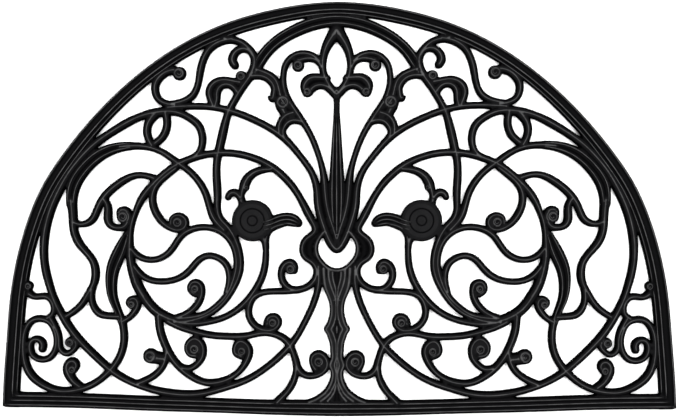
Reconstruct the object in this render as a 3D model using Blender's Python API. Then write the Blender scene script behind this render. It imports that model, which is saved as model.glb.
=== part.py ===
"""A half-round rubber doormat of open scrollwork, about 75 by 46 cm: one moulding, flat underneath.

Its left and right halves mirror each other, so one half is drawn and a Mirror modifier makes the other.
The drawing is a set of strands, the bars of the scrollwork, on a grid of steps. The edge of the material
is worked out from how deep each spot lies inside the strands, with a small fillet where two of them meet.
The upper face is then stretched between that edge and the crests and grooves of the strands.
"""

from math import pi
from typing import NamedTuple

import bpy
import numpy as np
from mathutils.geometry import delaunay_2d_cdt

MAT_WIDTH = 0.750
HALF_WIDTH_STEPS = 337.34
TALLEST_STEP = 420
STEP = MAT_WIDTH / 2 / HALF_WIDTH_STEPS

WALL_TOP = 0.0045
RIDGE = 0.0070
GROOVE = 0.0055
BEAD = 0.0080
KNOB = 0.0076
DISC = 0.0066
RING_GROOVE = 0.0056
DRAFT = 0.0005
FILLET = 0.0016
SLENDER_HALF = 0.0035

CELL = 0.001
SPARE_CELLS = 6
EDGE_TOLERANCE = 0.00045
CREST_TOLERANCE = 0.0007
HIDDEN = 0.0001
CREST_INSET = 0.0013
CREST_GAP = 0.0018
LEAST_OPENING = 6e-6
PATH_SPACING = 0.002
RING_POINTS = 6
LEAST_TURN = -0.5
COINCIDENT = 1e-7
MERGE_DISTANCE = 1e-5
SHARP_ANGLE = pi / 5


class Station(NamedTuple):
    """A crest or a groove of a bar's section.

    side runs from -1 at the bar's right edge, seen along its path, to 1 at its left one.
    """

    side: float
    height: float


class Strand(NamedTuple):
    """One raised bar of the moulding, as a smooth path through its knots.

    knots are (across, up, wide) rows in grid steps: across from the mat's centre line, up from its front
    edge, and the bar's width there. ribs is how many crests it has side by side, with 0 for a low web
    between other bars. runs_on says that it crosses the centre line into its own mirror image, and square
    that its ends are cut straight across.
    """

    name: str
    knots: tuple
    ribs: int = 1
    runs_on: bool = False
    square: bool = False


class Boss(NamedTuple):
    """A round end or knob, in grid steps."""

    across: float
    up: float
    radius: float


SECTIONS = {
    0: (Station(0, GROOVE),),
    1: (Station(0, RIDGE),),
    2: (Station(-0.45, RIDGE), Station(0, GROOVE), Station(0.45, RIDGE)),
    3: (
        Station(-0.58, RIDGE), Station(-0.3, GROOVE), Station(0, RIDGE), Station(0.3, GROOVE),
        Station(0.58, RIDGE),
    ),
    4: (
        Station(-0.72, BEAD), Station(-0.45, GROOVE), Station(0, GROOVE), Station(0.24, BEAD),
        Station(0.5, GROOVE), Station(0.74, RIDGE),
    ),
}
KNOB_SECTION = (Station(0, KNOB), Station(0.55, RIDGE))
ROSETTE_SECTION = (
    Station(0, KNOB), Station(0.14, RIDGE), Station(0.24, RING_GROOVE), Station(0.34, DISC),
    Station(0.44, DISC), Station(0.53, RING_GROOVE), Station(0.62, DISC), Station(0.9, DISC),
)

STRANDS = (
    Strand("frame", (
        (328.9, 8.5, 16.9), (327.7, 36, 17.1), (324.9, 76, 16.8), (321.6, 116, 16.8), (316.4, 150, 16.2),
        (306.4, 188, 15.9), (288.8, 230, 15.4), (272.3, 255.4, 15.3), (228, 308, 15), (168.6, 357.3, 14.5),
        (109.3, 387.2, 15), (80, 396.2, 15.2), (50.4, 402.8, 14.9), (0, 408.3, 13.7),
    ), 4, True, True),
    Strand("sill", (
        (334.5, 15.8, 15.7), (253.5, 14.6, 15.3), (187, 12.2, 15.2), (122, 10.4, 15), (60, 8.7, 15.4),
        (30, 8.4, 16.2), (0, 8.1, 16.3),
    ), 3, True, True),
    Strand("outer_garland", (
        (146, 258.5, 6), (138.7, 264.3, 7), (135.2, 273, 8), (135.4, 282.5, 8.2), (139.2, 291.8, 8.3),
        (147, 298.6, 8.2), (156.3, 303.4, 8), (165.5, 305.5, 8.3), (179.5, 304.9, 10.2), (193.7, 302, 8.6),
        (212.1, 293.8, 9), (228.2, 284.1, 8.6), (243.8, 272.9, 8.8), (257.6, 259.3, 8.6), (269.8, 243.8, 9),
        (279.4, 227.2, 9.4), (287.1, 210.3, 9.2), (292.3, 193.5, 9.2), (295.1, 176.5, 9.2),
        (295.2, 156.5, 8.6),
        (291.3, 136.3, 8.4), (285.7, 119.3, 7.7), (276.6, 100.2, 8.6), (264, 81.3, 8.8), (243.7, 60.1, 8.4),
        (223.2, 42.8, 8), (197.7, 30.1, 7.6), (165.4, 22.5, 8.4), (137, 22.4, 8.2), (113, 28.3, 8),
        (89.5, 36.8, 7.5), (69.5, 49.6, 7.4), (55.1, 62, 7.7), (42.5, 76.5, 7.2), (32.5, 93.5, 6.9),
        (23.3, 113.5, 7.2), (19.3, 127, 7.4), (18, 138, 8), (18.5, 150.5, 8),
    )),
    Strand("inner_garland_leaf", (
        (267.5, 213, 10.6), (265.5, 229.5, 13.6), (253.7, 249.1, 13.8), (238.3, 262.5, 13.2),
        (220, 269.7, 10.8), (208, 271.2, 8.5),
    ), 2),
    Strand("inner_garland", (
        (218, 270.2, 8), (203.8, 271.2, 8), (189.5, 269.9, 7.2), (175.1, 264.6, 7.1), (161.8, 255.5, 7.5),
        (150.9, 247.8, 7.5), (139.7, 236.5, 7.6), (131.6, 222.3, 7.8), (127.6, 208.5, 7.8),
        (123.5, 198.5, 8.6),
        (118, 191.5, 8), (113, 186.5, 8),
    )),
    Strand("wavy_bar", (
        (267.3, 216.5, 10.4), (265.9, 200.5, 9.5), (265, 186.5, 9), (259.6, 173, 8.8), (251.6, 163.4, 8),
        (245.2, 154.2, 8.2), (243.1, 143.3, 9), (244.9, 132.5, 8.3), (250.3, 122.6, 7.6), (254.8, 115, 7.7),
        (261.8, 107.2, 7.4), (272.3, 100, 7),
    )),
    Strand("wavy_branch", (
        (246.1, 128.5, 7), (246.9, 117.5, 7), (244.5, 108.7, 7.6), (237.9, 101.9, 8), (229.2, 100.1, 7.5),
        (219, 99.7, 7.5),
    )),
    Strand("side_leaf", (
        (211.8, 181.5, 8), (218.7, 164.3, 14.3), (225.2, 148.5, 14), (227.2, 132.5, 12), (225.2, 117.5, 9.9),
        (221, 106.5, 8.4), (216.5, 94.5, 8),
    ), 2),
    Strand("corner_scroll", (
        (216.5, 96.5, 8), (214.3, 82.5, 8.3), (215.2, 69.5, 8.2), (220.7, 55.3, 8.2), (231.7, 42, 8),
        (245.8, 31.4, 7.7), (262.6, 25.8, 8.1), (281, 25.2, 8), (297.2, 31.3, 8.8), (309, 41.5, 9),
        (314.7, 55.7, 8.3), (315.8, 71.5, 7.5), (313.8, 85.6, 7.5), (306.8, 95.6, 7.5), (297.2, 97.2, 7.5),
        (289.6, 94, 7), (284.5, 86.5, 7.2), (282.2, 75.5, 7.2), (284.3, 64.8, 7.2), (290.4, 57.6, 7.2),
        (298.3, 56.1, 7), (305.7, 59.5, 7), (309.2, 67.5, 7.4), (307, 75.4, 7.4), (301.4, 76.7, 7.3),
        (296.6, 72, 8.6), (297, 67, 8.4),
    )),
    Strand("corner_twin", (
        (289.1, 99.5, 6.5), (283, 88.6, 6.5), (279.6, 76.5, 6.3), (278.4, 66.8, 6.5), (272.8, 62.3, 6.7),
        (265.8, 65.5, 6.3), (262.1, 71.5, 6.5), (264.7, 77.5, 6),
    )),
    Strand("frame_hook", (
        (310, 122.5, 8.5), (304.4, 119.5, 7.2), (297.2, 120, 7.2), (291.1, 119, 7.2), (286.3, 113.5, 7.2),
        (285, 107.5, 7.2), (286.6, 101.8, 6.6), (291.5, 98, 6.5),
    )),
    Strand("comma", (
        (258.6, 29.5, 8), (265.3, 34.5, 9.3), (270, 41.5, 10.4), (272, 49, 8.8), (268.7, 54.4, 7.5),
        (264, 54.3, 7), (262, 49.7, 6.4), (264.2, 46, 5.5),
    )),
    Strand("side_curl", (
        (214.5, 95.3, 7.2), (208, 99.5, 7.1), (202.4, 106.3, 7.8), (200, 113, 6.8), (202.5, 117.6, 6),
        (206.8, 117.5, 6), (209.8, 113.6, 6.2), (207.3, 110, 5),
    )),
    Strand("great_scroll", (
        (161.3, 95.5, 9), (170.4, 98.7, 10.4), (179.5, 103.4, 10.8), (187.8, 110.8, 11), (194.7, 120.5, 11),
        (200.2, 130, 11), (204.3, 141.5, 10.8), (207, 152.5, 10), (208.2, 166.5, 8.4), (207.8, 177, 6.4),
        (207.3, 184.5, 5.9), (206.1, 192.5, 6.3), (203.3, 202, 6.5), (197.8, 215.3, 8.2), (187.7, 229.3, 8.7),
        (176, 240.9, 8), (163.4, 250.5, 8), (149.2, 257.3, 8), (133, 262.1, 7.9), (117, 264, 7.8),
        (100.8, 263.2, 7.8), (84.7, 259.2, 7.7), (69.7, 252.5, 8), (56.5, 242.9, 8.1), (45, 230.8, 7.8),
        (35.7, 216.3, 7.8), (28.4, 202.2, 8.7), (23.5, 193, 7.8), (21.6, 186.5, 7), (26, 181, 6.8),
        (31, 177, 6.8), (34.2, 171, 6.8), (34.4, 164.5, 6.8), (31, 158.5, 6.8), (24.8, 154.4, 7),
        (20.5, 147.5, 7.4),
        (21.9, 137.2, 7.8), (30.1, 129.2, 7.6), (42.5, 126, 7.4), (56.6, 125, 7), (72.7, 124.1, 7),
        (82.5, 120.1, 7.8), (88.1, 110.5, 7.8), (88, 99.4, 7.6), (81.3, 90, 7.6), (71.6, 86.3, 7.2),
        (62.6, 87.7, 7.3), (58, 95, 6.3), (62.3, 100.2, 6.3), (68.6, 98.3, 6.4), (70, 92.5, 8.5),
    )),
    Strand("inner_volute", (
        (161.5, 248.4, 6), (172.8, 239.8, 7), (182.9, 228.3, 7.2), (185.4, 215.5, 8.2), (182, 204, 8.3),
        (175, 194.2, 8.2), (166.6, 188.4, 7.1), (158.8, 186.6, 6.4), (152.9, 189.2, 5.9), (151.1, 195, 5.7),
        (154.6, 200.1, 5.7), (160.3, 201.4, 6), (165.8, 198.3, 5.5), (166.4, 192.5, 5.5),
    )),
    Strand("upper_tendril", (
        (206.3, 167.5, 6), (200.4, 160.9, 7), (190.6, 156.8, 6.9), (179.5, 157.6, 7), (169.6, 163.3, 7.3),
        (163.1, 171.3, 7.3), (156.6, 180.4, 7.4), (148.2, 186.3, 7.4), (138.1, 189.1, 7.2), (127, 188.8, 7),
        (117.3, 185.4, 7.5), (109.1, 178.7, 7.3), (104, 170.5, 7.1), (101.1, 160.5, 7.1), (100.7, 150.5, 7.2),
        (102.9, 139.5, 7.2), (107, 128.1, 6.8), (113.4, 117.9, 6.6), (122.2, 109.4, 6.4), (132.6, 102.7, 6.2),
        (145.8, 99.3, 7), (159.3, 98, 7.5),
    )),
    Strand("rising_bar", (
        (84.2, 344, 9), (93.5, 331.1, 8.1), (102.1, 317.6, 8), (108.9, 304, 8), (113.9, 286.5, 9.4),
        (117.5, 270.5, 9.2), (120.3, 256.5, 8.4), (120.8, 238.5, 8.6), (119.9, 220.5, 8.4), (119.7, 207, 7),
        (116.8, 198.1, 7), (109.7, 190.1, 7.2), (103.7, 181.2, 6.8), (99.2, 170.5, 6.6), (96.7, 159.5, 6.4),
        (96.6, 148.4, 6.7), (100.5, 134.8, 6.5), (107.3, 122.4, 6.5), (115.6, 111.8, 6.5),
        (125.8, 103.6, 6.5),
        (137.1, 98.5, 7.1), (150.2, 95.2, 7.5), (163.4, 94.5, 7.5),
    )),
    Strand("lower_tendril", (
        (203.5, 150, 6), (196.7, 141.6, 7), (187.6, 136.3, 7), (176.5, 134.7, 7), (165.4, 136, 7),
        (154.3, 140.7, 7.4), (145.7, 148.7, 7.5), (138, 157, 7.4), (129, 160.7, 7), (120, 158.8, 7.2),
        (111.7, 152.4, 7.5), (108.2, 142.5, 7.3), (108.5, 132.5, 7.1), (111, 124.5, 6),
    )),
    Strand("mid_curl", (
        (161.3, 98.5, 7), (152.2, 102, 7), (143.3, 108.3, 8), (137.4, 117, 7.8), (135.2, 125.5, 6.4),
        (137.4, 132.4, 6.4), (142.2, 134.6, 6.2), (146.9, 131.6, 6.4), (147.4, 126.2, 6.2),
        (142.2, 122.3, 7.5),
    )),
    Strand("rosette_stem", (
        (73.5, 179, 10), (71.9, 173, 7.2), (71.3, 162.5, 7.1), (72.3, 150.5, 7.6), (76.4, 136.5, 8),
        (83.3, 124.5, 7.6), (92.1, 113.5, 7.8), (101.7, 105.3, 7.3), (114.9, 98.3, 7.1), (129, 94.4, 7.2),
        (144.2, 92.7, 7.2), (162.3, 94.5, 7),
    )),
    Strand("lower_scroll", (
        (179.3, 100.5, 8.6), (177.9, 86.4, 8.7), (173.3, 72.3, 8.5), (166.4, 59, 8.4), (157, 47.8, 8.4),
        (145.3, 39, 8), (133, 33.7, 7.6), (121, 33.7, 7.7), (108.4, 37.6, 7.2), (97.8, 45, 7.2),
        (90.3, 56.2, 8.2), (87.8, 66.4, 7.5), (91.5, 73.1, 6.4), (97.3, 75, 6.5), (101.8, 70.5, 6.5),
        (101.7, 63.3, 7), (95.5, 60, 8),
    )),
    Strand("lower_branch", (
        (170.9, 66.5, 7), (172.7, 55.5, 7.5), (178.2, 45.5, 7.6), (187.4, 38, 7.8), (200.3, 32.2, 7.8),
    )),
    Strand("lower_neck", (
        (172.5, 57.5, 10), (179.5, 57.9, 13.2), (186, 59.3, 13),
    )),
    Strand("lower_curl", (
        (155.3, 48.5, 7), (147.7, 47.6, 7.2), (140.5, 52, 7.6), (135.5, 58.5, 7.4), (134, 66.5, 7),
        (136.6, 74, 6.4), (142.6, 77.6, 6.4), (148.6, 74.3, 6.2), (151, 68, 6), (148.5, 62.3, 6),
        (141.5, 60.6, 7.5),
    )),
    Strand("centre_scroll", (
        (169.4, 95, 8), (157.3, 89.1, 7.6), (143.2, 84.7, 7.6), (127, 81, 7.6), (108.9, 79.7, 7.5),
        (90.8, 80.3, 7.5), (74.7, 83.4, 7.4), (61.6, 81.7, 7.5), (51.4, 76.1, 8.2), (44.7, 65.5, 7.7),
        (41.2, 54.5, 8.1), (37.6, 45.3, 8.1), (30.5, 40.7, 7.6), (21.7, 40.8, 7.2), (14.1, 44.3, 6.7),
        (9.8, 51.5, 7), (11.8, 59.2, 6.4), (18.5, 63.2, 6.3), (24.4, 60, 5.8), (25.3, 54, 5.8),
        (21.5, 47.5, 8.5),
    )),
    Strand("sill_branch", (
        (40.8, 53.5, 7), (41.8, 40.5, 7.2), (45.7, 30.7, 8.1), (49.3, 25.2, 7.8), (57.2, 16.8, 8.6),
        (60, 13.8, 9),
    )),
    Strand("bracket_curl", (
        (38.5, 126.5, 7), (47.5, 128.1, 7.2), (54.2, 134.8, 7.9), (55.8, 144, 7.8), (52.2, 151.9, 7.8),
        (46, 154.2, 7.2), (42.3, 150.5, 7), (42.6, 145.6, 7),
    )),
    Strand("rosette_arch", (
        (95.3, 211.5, 7), (95.4, 221.5, 5.9), (93.4, 230, 10.1), (89.3, 238.5, 10.1), (82.7, 244.1, 8.9),
        (74, 246.9, 7.7), (66, 247.4, 5.6),
    )),
    Strand("rosette_hook", (
        (109.2, 219.4, 7.0), (107.6, 222.4, 7.8), (103.3, 224.1, 8.4), (98.8, 221.5, 8), (95.8, 216.5, 8),
        (94.3, 209.5, 8),
    )),
    Strand("rosette_leaf", (
        (74.7, 190.5, 12), (65.7, 192.5, 14), (57.6, 195.7, 14.3), (49.5, 197.2, 13.8), (42.5, 195.5, 12.3),
        (38.6, 193.3, 8.6),
    ), 3),
    Strand("rosette_flow", (
        (71.3, 169.5, 7), (70.9, 178, 6.4), (67.4, 185.8, 6.4), (60.6, 190.4, 6), (53.5, 192.3, 5),
    )),
    Strand("ring_arch", (
        (104.8, 378, 8), (113.9, 376.4, 8.2), (121.3, 373.4, 8.5), (128.3, 367.7, 8.2), (133, 360, 8),
        (136.2, 350.5, 8.1), (138.2, 339.5, 7.7), (140.4, 329.7, 7.3), (145.6, 320.9, 7.9), (154.3, 316, 7.4),
        (165.4, 313.5, 7),
    )),
    Strand("ring_hook", (
        (163.5, 347.5, 9), (171.5, 345, 8.8), (178, 340.1, 8.9), (182.2, 333, 8.7), (182.4, 325, 8.3),
        (178.7, 317.5, 7.6), (171.4, 313.6, 7.6), (162.3, 312, 7.5),
    )),
    Strand("link_outer", (
        (183.5, 302.5, 11), (188.3, 296, 9.3), (190.9, 287.5, 8.8), (189.4, 278.5, 8.4), (185.6, 271.5, 8),
    )),
    Strand("link_inner", (
        (172.4, 305.5, 8.5), (170.8, 297.5, 8.5), (171.3, 288.5, 8.6), (175.6, 279.7, 8.5), (182.4, 273.7, 8),
    )),
    Strand("sheaf_outer", (
        (169.4, 309.7, 7), (157.3, 310.5, 7.2), (142.1, 311, 7.4), (127, 310.3, 7.3), (111.9, 307.6, 7.5),
        (96.8, 302.9, 7.5), (81.7, 296.5, 7.6), (67.5, 289.1, 7.7), (54.7, 280.3, 8.2), (43.1, 268.4, 7.3),
        (33.6, 256.6, 7), (26, 245.5, 7.2), (21.7, 235, 7.7), (19.7, 223.5, 8.3), (18.9, 212.5, 8.8),
        (16.8, 202, 9), (13.4, 191, 9.3), (9.2, 180, 9.5), (5, 172, 9.8), (0, 167.4, 9.2),
    ), 1, True),
    Strand("sheaf_inner", (
        (17, 355.5, 7.5), (23, 360.5, 7.5), (30.5, 363.1, 7.4), (38.5, 362.8, 7.3), (45.9, 358.8, 7.3),
        (51.2, 352, 7.2), (53.4, 343, 6.8), (53.4, 332.5, 7.1), (50.3, 321, 7.1), (43.7, 309.4, 7.2),
        (35.4, 297, 7.3), (27.9, 284.7, 6.5), (22.2, 272.4, 6.5), (17.8, 259.9, 6.4), (14.7, 248.8, 6.9),
        (12.8, 237.5, 8), (11.8, 225.5, 8), (10.3, 212.5, 8), (7.5, 200.5, 8), (4, 189.5, 7), (0.5, 178, 6),
    )),
    Strand("spear", (
        (0, 326, 8), (0, 310, 6.3), (0, 290, 8.4), (0, 262, 12.2), (0, 240, 15), (0, 216, 16), (0, 194, 12),
        (0, 174, 6),
    ), 3),
    Strand("almond", (
        (0, 386, 15), (4.3, 380, 13), (9.3, 372, 10.6), (12.8, 362.5, 8.8), (14, 352.5, 7.7),
        (12.5, 341.9, 7.3), (7.9, 332, 7.6), (0, 322, 9),
    )),
    Strand("finial_scroll", (
        (9.5, 338.5, 7.5), (17.5, 339.2, 8.6), (25.6, 338.6, 10), (30.8, 334.3, 10.4), (32.8, 328.5, 7.4),
        (30.5, 323.2, 6),
    )),
    Strand("finial_lip", (
        (2.5, 323.5, 9), (8, 328.9, 8.8), (15, 331.5, 8.2), (21.9, 330.2, 8.8), (27, 325.5, 8),
    )),
    Strand("finial_hook", (
        (14.5, 347.5, 5.5), (17.7, 353.9, 6.3), (24, 357.8, 7), (31, 358, 7.2), (38.5, 356.3, 8),
    )),
    Strand("bridge_outer", (
        (80.7, 347.5, 7.5), (73, 344.7, 7.5), (66, 341.3, 7.5), (60.8, 336, 7.5), (58, 328.5, 7.5),
        (56, 320.5, 7.5), (52.5, 312.5, 7.5),
    )),
    Strand("bridge_inner", (
        (86.7, 340.5, 7.5), (78.7, 341.1, 7.5), (71, 339.2, 7.5), (65.7, 335, 7.8), (62.6, 329, 7.8),
        (62.9, 323.5, 7.5), (64.8, 318.2, 7.5), (68, 319.8, 3),
    )),
    Strand("bridge_neck", (
        (55.3, 309.5, 11.5), (52.3, 304, 10),
    )),
    Strand("bridge_hook", (
        (35.5, 295, 7), (41, 296.4, 7.7), (47, 295.3, 7.4), (51.6, 291, 7), (53.8, 284.5, 6), (52, 278.5, 7),
    )),
    Strand("bridge_lip", (
        (43.5, 304, 7.5), (49.6, 302, 7.5), (54.8, 297.5, 7.5), (57.6, 291, 7.5), (57.6, 284.5, 7.5),
    )),
    Strand("crown_leaf", (
        (85.3, 343, 9), (79.2, 352.5, 12), (72.7, 362.5, 12.5), (64.2, 371.7, 12.5), (53.6, 379.7, 13),
        (41, 386.5, 13.3), (28.5, 391.6, 13.7), (14.5, 395, 13.4), (0, 396.3, 12.8),
    ), 2, True),
    Strand("crown_arch", (
        (112.9, 378.5, 7.5), (103.8, 377.2, 8), (95.8, 374.7, 8), (89.3, 369.7, 8), (84.2, 363.5, 8),
        (82.3, 355.8, 8.8), (83.4, 348.5, 9), (87.2, 341.5, 8),
    )),
    Strand("crown_hook", (
        (83.7, 360, 6), (87.1, 365.4, 6.6), (93.3, 368.2, 7.7), (99.2, 366.7, 8.6), (103.4, 362.2, 9.2),
        (104.7, 356.7, 9.6), (102.2, 351.8, 8.6),
    )),
    Strand("crossing_scroll", (
        (96.8, 334.5, 8), (103.8, 335.8, 7.2), (111.9, 337.1, 7.6), (120, 335.6, 8.4), (125.8, 330.9, 8.6),
        (128, 324.5, 8.4), (126.7, 318, 8), (124, 311.5, 8),
    )),
    Strand("crossing_lip", (
        (99.8, 325.2, 8.6), (104.5, 330.6, 8.3), (110.9, 332.6, 7.9), (117, 330.2, 8), (119.9, 324.7, 7.8),
        (120.1, 318.5, 7.2), (121.6, 311.5, 6.8),
    )),
    Strand("side_arch", (
        (266.2, 195.5, 7), (259.6, 192.6, 6.6), (252.5, 193.2, 7.4), (246.5, 197, 8.2), (242.4, 204.2, 8.4),
        (239, 212.2, 8.5), (234.3, 219.5, 8.8), (227.6, 226.8, 8.7), (219.4, 233.3, 8.7), (210.4, 238.8, 8.1),
        (201.3, 241.7, 7.2), (192.7, 241.3, 6.9), (183.5, 238.5, 8),
    )),
    Strand("side_drop", (
        (234.5, 218, 6), (231, 212, 7.7), (230.4, 203.5, 9.1), (230.2, 196.2, 9.2), (226.9, 190.9, 7.9),
        (220.5, 188.8, 7.4), (213.7, 190.1, 7.8), (209.6, 196, 7.4), (209.4, 203, 7.6), (213.4, 207, 7.4),
        (218.2, 205.6, 7.2), (218.3, 200.5, 6),
    )),
    Strand("calyx", (
        (13, 184.5, 5.4), (17.6, 178.6, 5), (20.4, 172.5, 5), (20.9, 165.8, 5), (18.6, 158.6, 5),
        (14, 152.6, 5), (10.4, 149.2, 5), (5.4, 146.8, 5), (0, 145.9, 5),
    ), 1, True),
    Strand("calyx_hollow", (
        (17, 182, 8), (24.5, 177, 9), (27.5, 168, 10), (25.5, 159.5, 9), (18.5, 153.5, 8),
    ), 0),
    Strand("column_outer", (
        (13.2, 148, 7), (12.6, 138, 6.6), (11.2, 129.5, 6), (8.2, 121.5, 5.2), (5.6, 114, 5), (4.9, 108, 5),
        (5.4, 100.5, 5), (7, 94.6, 5), (9.1, 90, 5), (10.8, 87.2, 5), (9.1, 84.4, 5), (7.2, 79.8, 5),
        (5.4, 74.5, 5), (4.5, 65, 5), (4.7, 57, 4.8), (6.5, 51.5, 4.8), (4.6, 46, 4.8), (4.2, 40.5, 5),
        (5.2, 35, 5.4), (6.9, 30.9, 5.6),
        (11.3, 24.1, 5.6), (14.6, 21.4, 5.6), (18.9, 18.3, 5.6), (23.3, 16, 5.6), (28.5, 14, 5.6),
    )),
    Strand("column_inner", (
        (8.3, 146.2, 5), (8, 139, 5), (5.8, 130, 4.8), (3, 122.5, 4.4), (1.1, 116, 4), (0.6, 109, 4),
        (1, 101.5, 4), (2.4, 95, 4.2), (4.4, 90, 4.6), (5.7, 87.2, 4.6), (4.4, 84.4, 4.6), (2.6, 79.8, 4.2),
        (1.1, 74, 4), (0.6, 66, 4), (0.9, 57.5, 4), (2.4, 51.5, 4), (1, 45.5, 4), (0.6, 40.5, 4),
        (1.4, 35, 4.4), (3.6, 29.6, 5), (7, 23.8, 5.4), (11.3, 19.2, 5.6), (16.5, 15.5, 5.6),
    )),
    Strand("column_almond", (
        (4.3, 144.6, 4.2), (4, 139, 4.2), (2.4, 132, 4), (1, 126, 3.8), (0.6, 120, 3.6), (0.6, 113, 3.6),
    )),
    Strand("column_foot", (
        (1, 31, 4), (2.2, 26, 4.6), (5, 20.8, 5), (9.5, 15.5, 5.4),
    )),
    Strand("column_lozenge", (
        (0, 91, 2), (0, 87.2, 5.4), (0, 83.4, 2),
    )),
    Strand("lower_lozenge", (
        (0, 54.5, 2), (0, 51.5, 3.6), (0, 48.5, 2),
    )),
    Strand("lozenge_hollow", (
        (0, 97, 5), (0, 77, 5),
    ), 0),
    Strand("almond_hollow", (
        (0, 142.5, 9.6), (0, 132, 7), (0, 118, 5),
    ), 0),
    Strand("foot_hollow", (
        (0, 26, 3), (0, 16, 9),
    ), 0),
)

BOSSES = (
    Boss(84.6, 195.8, 21),
    Boss(310.4, 130.5, 4.5),
    Boss(268.6, 73.6, 5.5),
    Boss(187.4, 60, 7.8),
    Boss(159.8, 194.3, 6.4),
    Boss(158.1, 343.8, 7.1),
    Boss(95.8, 340.7, 5.8),
    Boss(38.7, 351.2, 6.3),
    Boss(29.4, 324.7, 5.3),
    Boss(54, 314.5, 8.5),
    Boss(214.8, 199.8, 6.9),
    Boss(18.2, 54.8, 6.4),
    Boss(266.2, 46.4, 4.8),
    Boss(206.2, 111.9, 4.8),
    Boss(95.4, 65.2, 5.4),
    Boss(142.9, 67.3, 6.3),
    Boss(142.3, 127.8, 5.2),
    Boss(64.3, 93.9, 5.5),
    Boss(46.4, 147.5, 5.8),
    Boss(90.5, 228.8, 2.8),
)


class Bar(NamedTuple):
    """A strand's path in metres, half its width there, its section and whether its ends are square."""

    points: np.ndarray
    half: np.ndarray
    section: tuple
    square: bool


def smooth_path(knots):
    """Rows along the smooth curve through the knots: a natural cubic spline over the chord length."""
    chord = np.concatenate([[0], np.cumsum(np.hypot(*np.diff(knots[:, :2], axis=0).T))])
    gap = np.diff(chord)[:, None]
    slope = np.diff(knots, axis=0) / gap
    system = np.eye(len(knots))
    change = np.zeros_like(knots)
    for i in range(1, len(knots) - 1):
        system[i, i - 1:i + 2] = gap[i - 1, 0], 2 * (gap[i - 1, 0] + gap[i, 0]), gap[i, 0]
        change[i] = 6 * (slope[i] - slope[i - 1])
    bend = np.linalg.solve(system, change)
    start_slope = slope - gap * (2 * bend[:-1] + bend[1:]) / 6
    growth = (bend[1:] - bend[:-1]) / (6 * gap)
    rows = []
    for i, length in enumerate(gap[:, 0]):
        pieces = int(np.ceil(length / PATH_SPACING))
        s = np.arange(pieces)[:, None] * length / pieces
        rows.append(knots[i] + s * start_slope[i] + s**2 * bend[i] / 2 + s**3 * growth[i])
    return np.concatenate(rows + [knots[-1:]])


def bar_of(strand):
    """The bar that a strand draws, with the mirror image of its path behind it where it runs on."""
    knots = np.array(strand.knots, float)
    if strand.runs_on:
        knots = np.concatenate([knots, knots[-2::-1] * (-1, 1, 1)])
    rows = smooth_path(knots * STEP)
    return Bar(rows[:, :2], rows[:, 2] / 2, SECTIONS[strand.ribs], strand.square)


def mirrored(bar):
    """The bar on the other side of the centre line."""
    return bar._replace(points=bar.points * (-1, 1))


def bars():
    """The drawn bars, and the mirror images that can reach the drawn half.

    A bar that is its own mirror image has none.
    """
    drawn = [bar_of(strand) for strand in STRANDS]
    sided = [bar for bar in drawn if bar.points[:, 0].min() >= 0 and bar.points[:, 0].any()]
    return drawn, [mirrored(bar) for bar in sided if bar.points[:, 0].min() < 2 * bar.half.max()]


def reach(spots, start, end, half_start, half_end):
    """Each spot's depth inside a tapering length of bar, its side of the path and the half width there."""
    span = end - start
    along = np.clip((spots - start) @ span / (span @ span), 0, 1)
    off = spots - start - along[..., None] * span
    distance = np.hypot(off[..., 0], off[..., 1])
    half = half_start + along * (half_end - half_start)
    leftward = span[0] * off[..., 1] - span[1] * off[..., 0]
    return half - distance, np.copysign(distance / half, leftward), half


def inside_ends(bar, spots):
    """How far each spot lies inside the two square ends of a bar."""
    ends = []
    for tip, neighbour in ((bar.points[0], bar.points[1]), (bar.points[-1], bar.points[-2])):
        inward = (neighbour - tip) / np.hypot(*(neighbour - tip))
        ends.append((spots - tip) @ inward)
    return np.minimum(*ends)


def bar_depth(bar, across, up):
    """How deep each crossing of the grid lies inside the bar, negative outside it."""
    depth = np.full((len(up), len(across)), -MAT_WIDTH)
    for start, end, half_start, half_end in zip(bar.points, bar.points[1:], bar.half, bar.half[1:]):
        margin = max(half_start, half_end) + 2 * FILLET
        low = np.minimum(start, end) - margin
        high = np.maximum(start, end) + margin
        columns = slice(*np.searchsorted(across, (low[0], high[0])))
        rows = slice(*np.searchsorted(up, (low[1], high[1])))
        spots = np.stack(np.meshgrid(across[columns], up[rows]), axis=-1)
        if spots.size:
            inside, _, _ = reach(spots, start, end, half_start, half_end)
            depth[rows, columns] = np.maximum(depth[rows, columns], inside)
    if bar.square:
        depth = np.minimum(depth, inside_ends(bar, np.stack(np.meshgrid(across, up), axis=-1)))
    return depth


def joined(first, second):
    """The depth inside either of two shapes, with a small fillet where their edges meet."""
    nearness = np.clip(1 - abs(first - second) / FILLET, 0, None)
    return np.maximum(first, second) + FILLET / 4 * nearness**2


def mat_depth(all_bars, across, up):
    """How deep each crossing of the grid lies inside the mat's material."""
    depth = np.full((len(up), len(across)), -MAT_WIDTH)
    for bar in all_bars:
        depth = joined(depth, bar_depth(bar, across, up))
    for boss in BOSSES:
        off = np.hypot(across[None, :] - boss.across * STEP, up[:, None] - boss.up * STEP)
        depth = joined(depth, boss.radius * STEP - off)
    return depth


def edge_place(key, depth, across, up):
    """Where the edge of the material crosses one side of a grid cell."""
    (row, column), (next_row, next_column) = key
    share = depth[row, column] / (depth[row, column] - depth[next_row, next_column])
    return (
        across[column] + share * (across[next_column] - across[column]),
        up[row] + share * (up[next_row] - up[row]),
    )


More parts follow.
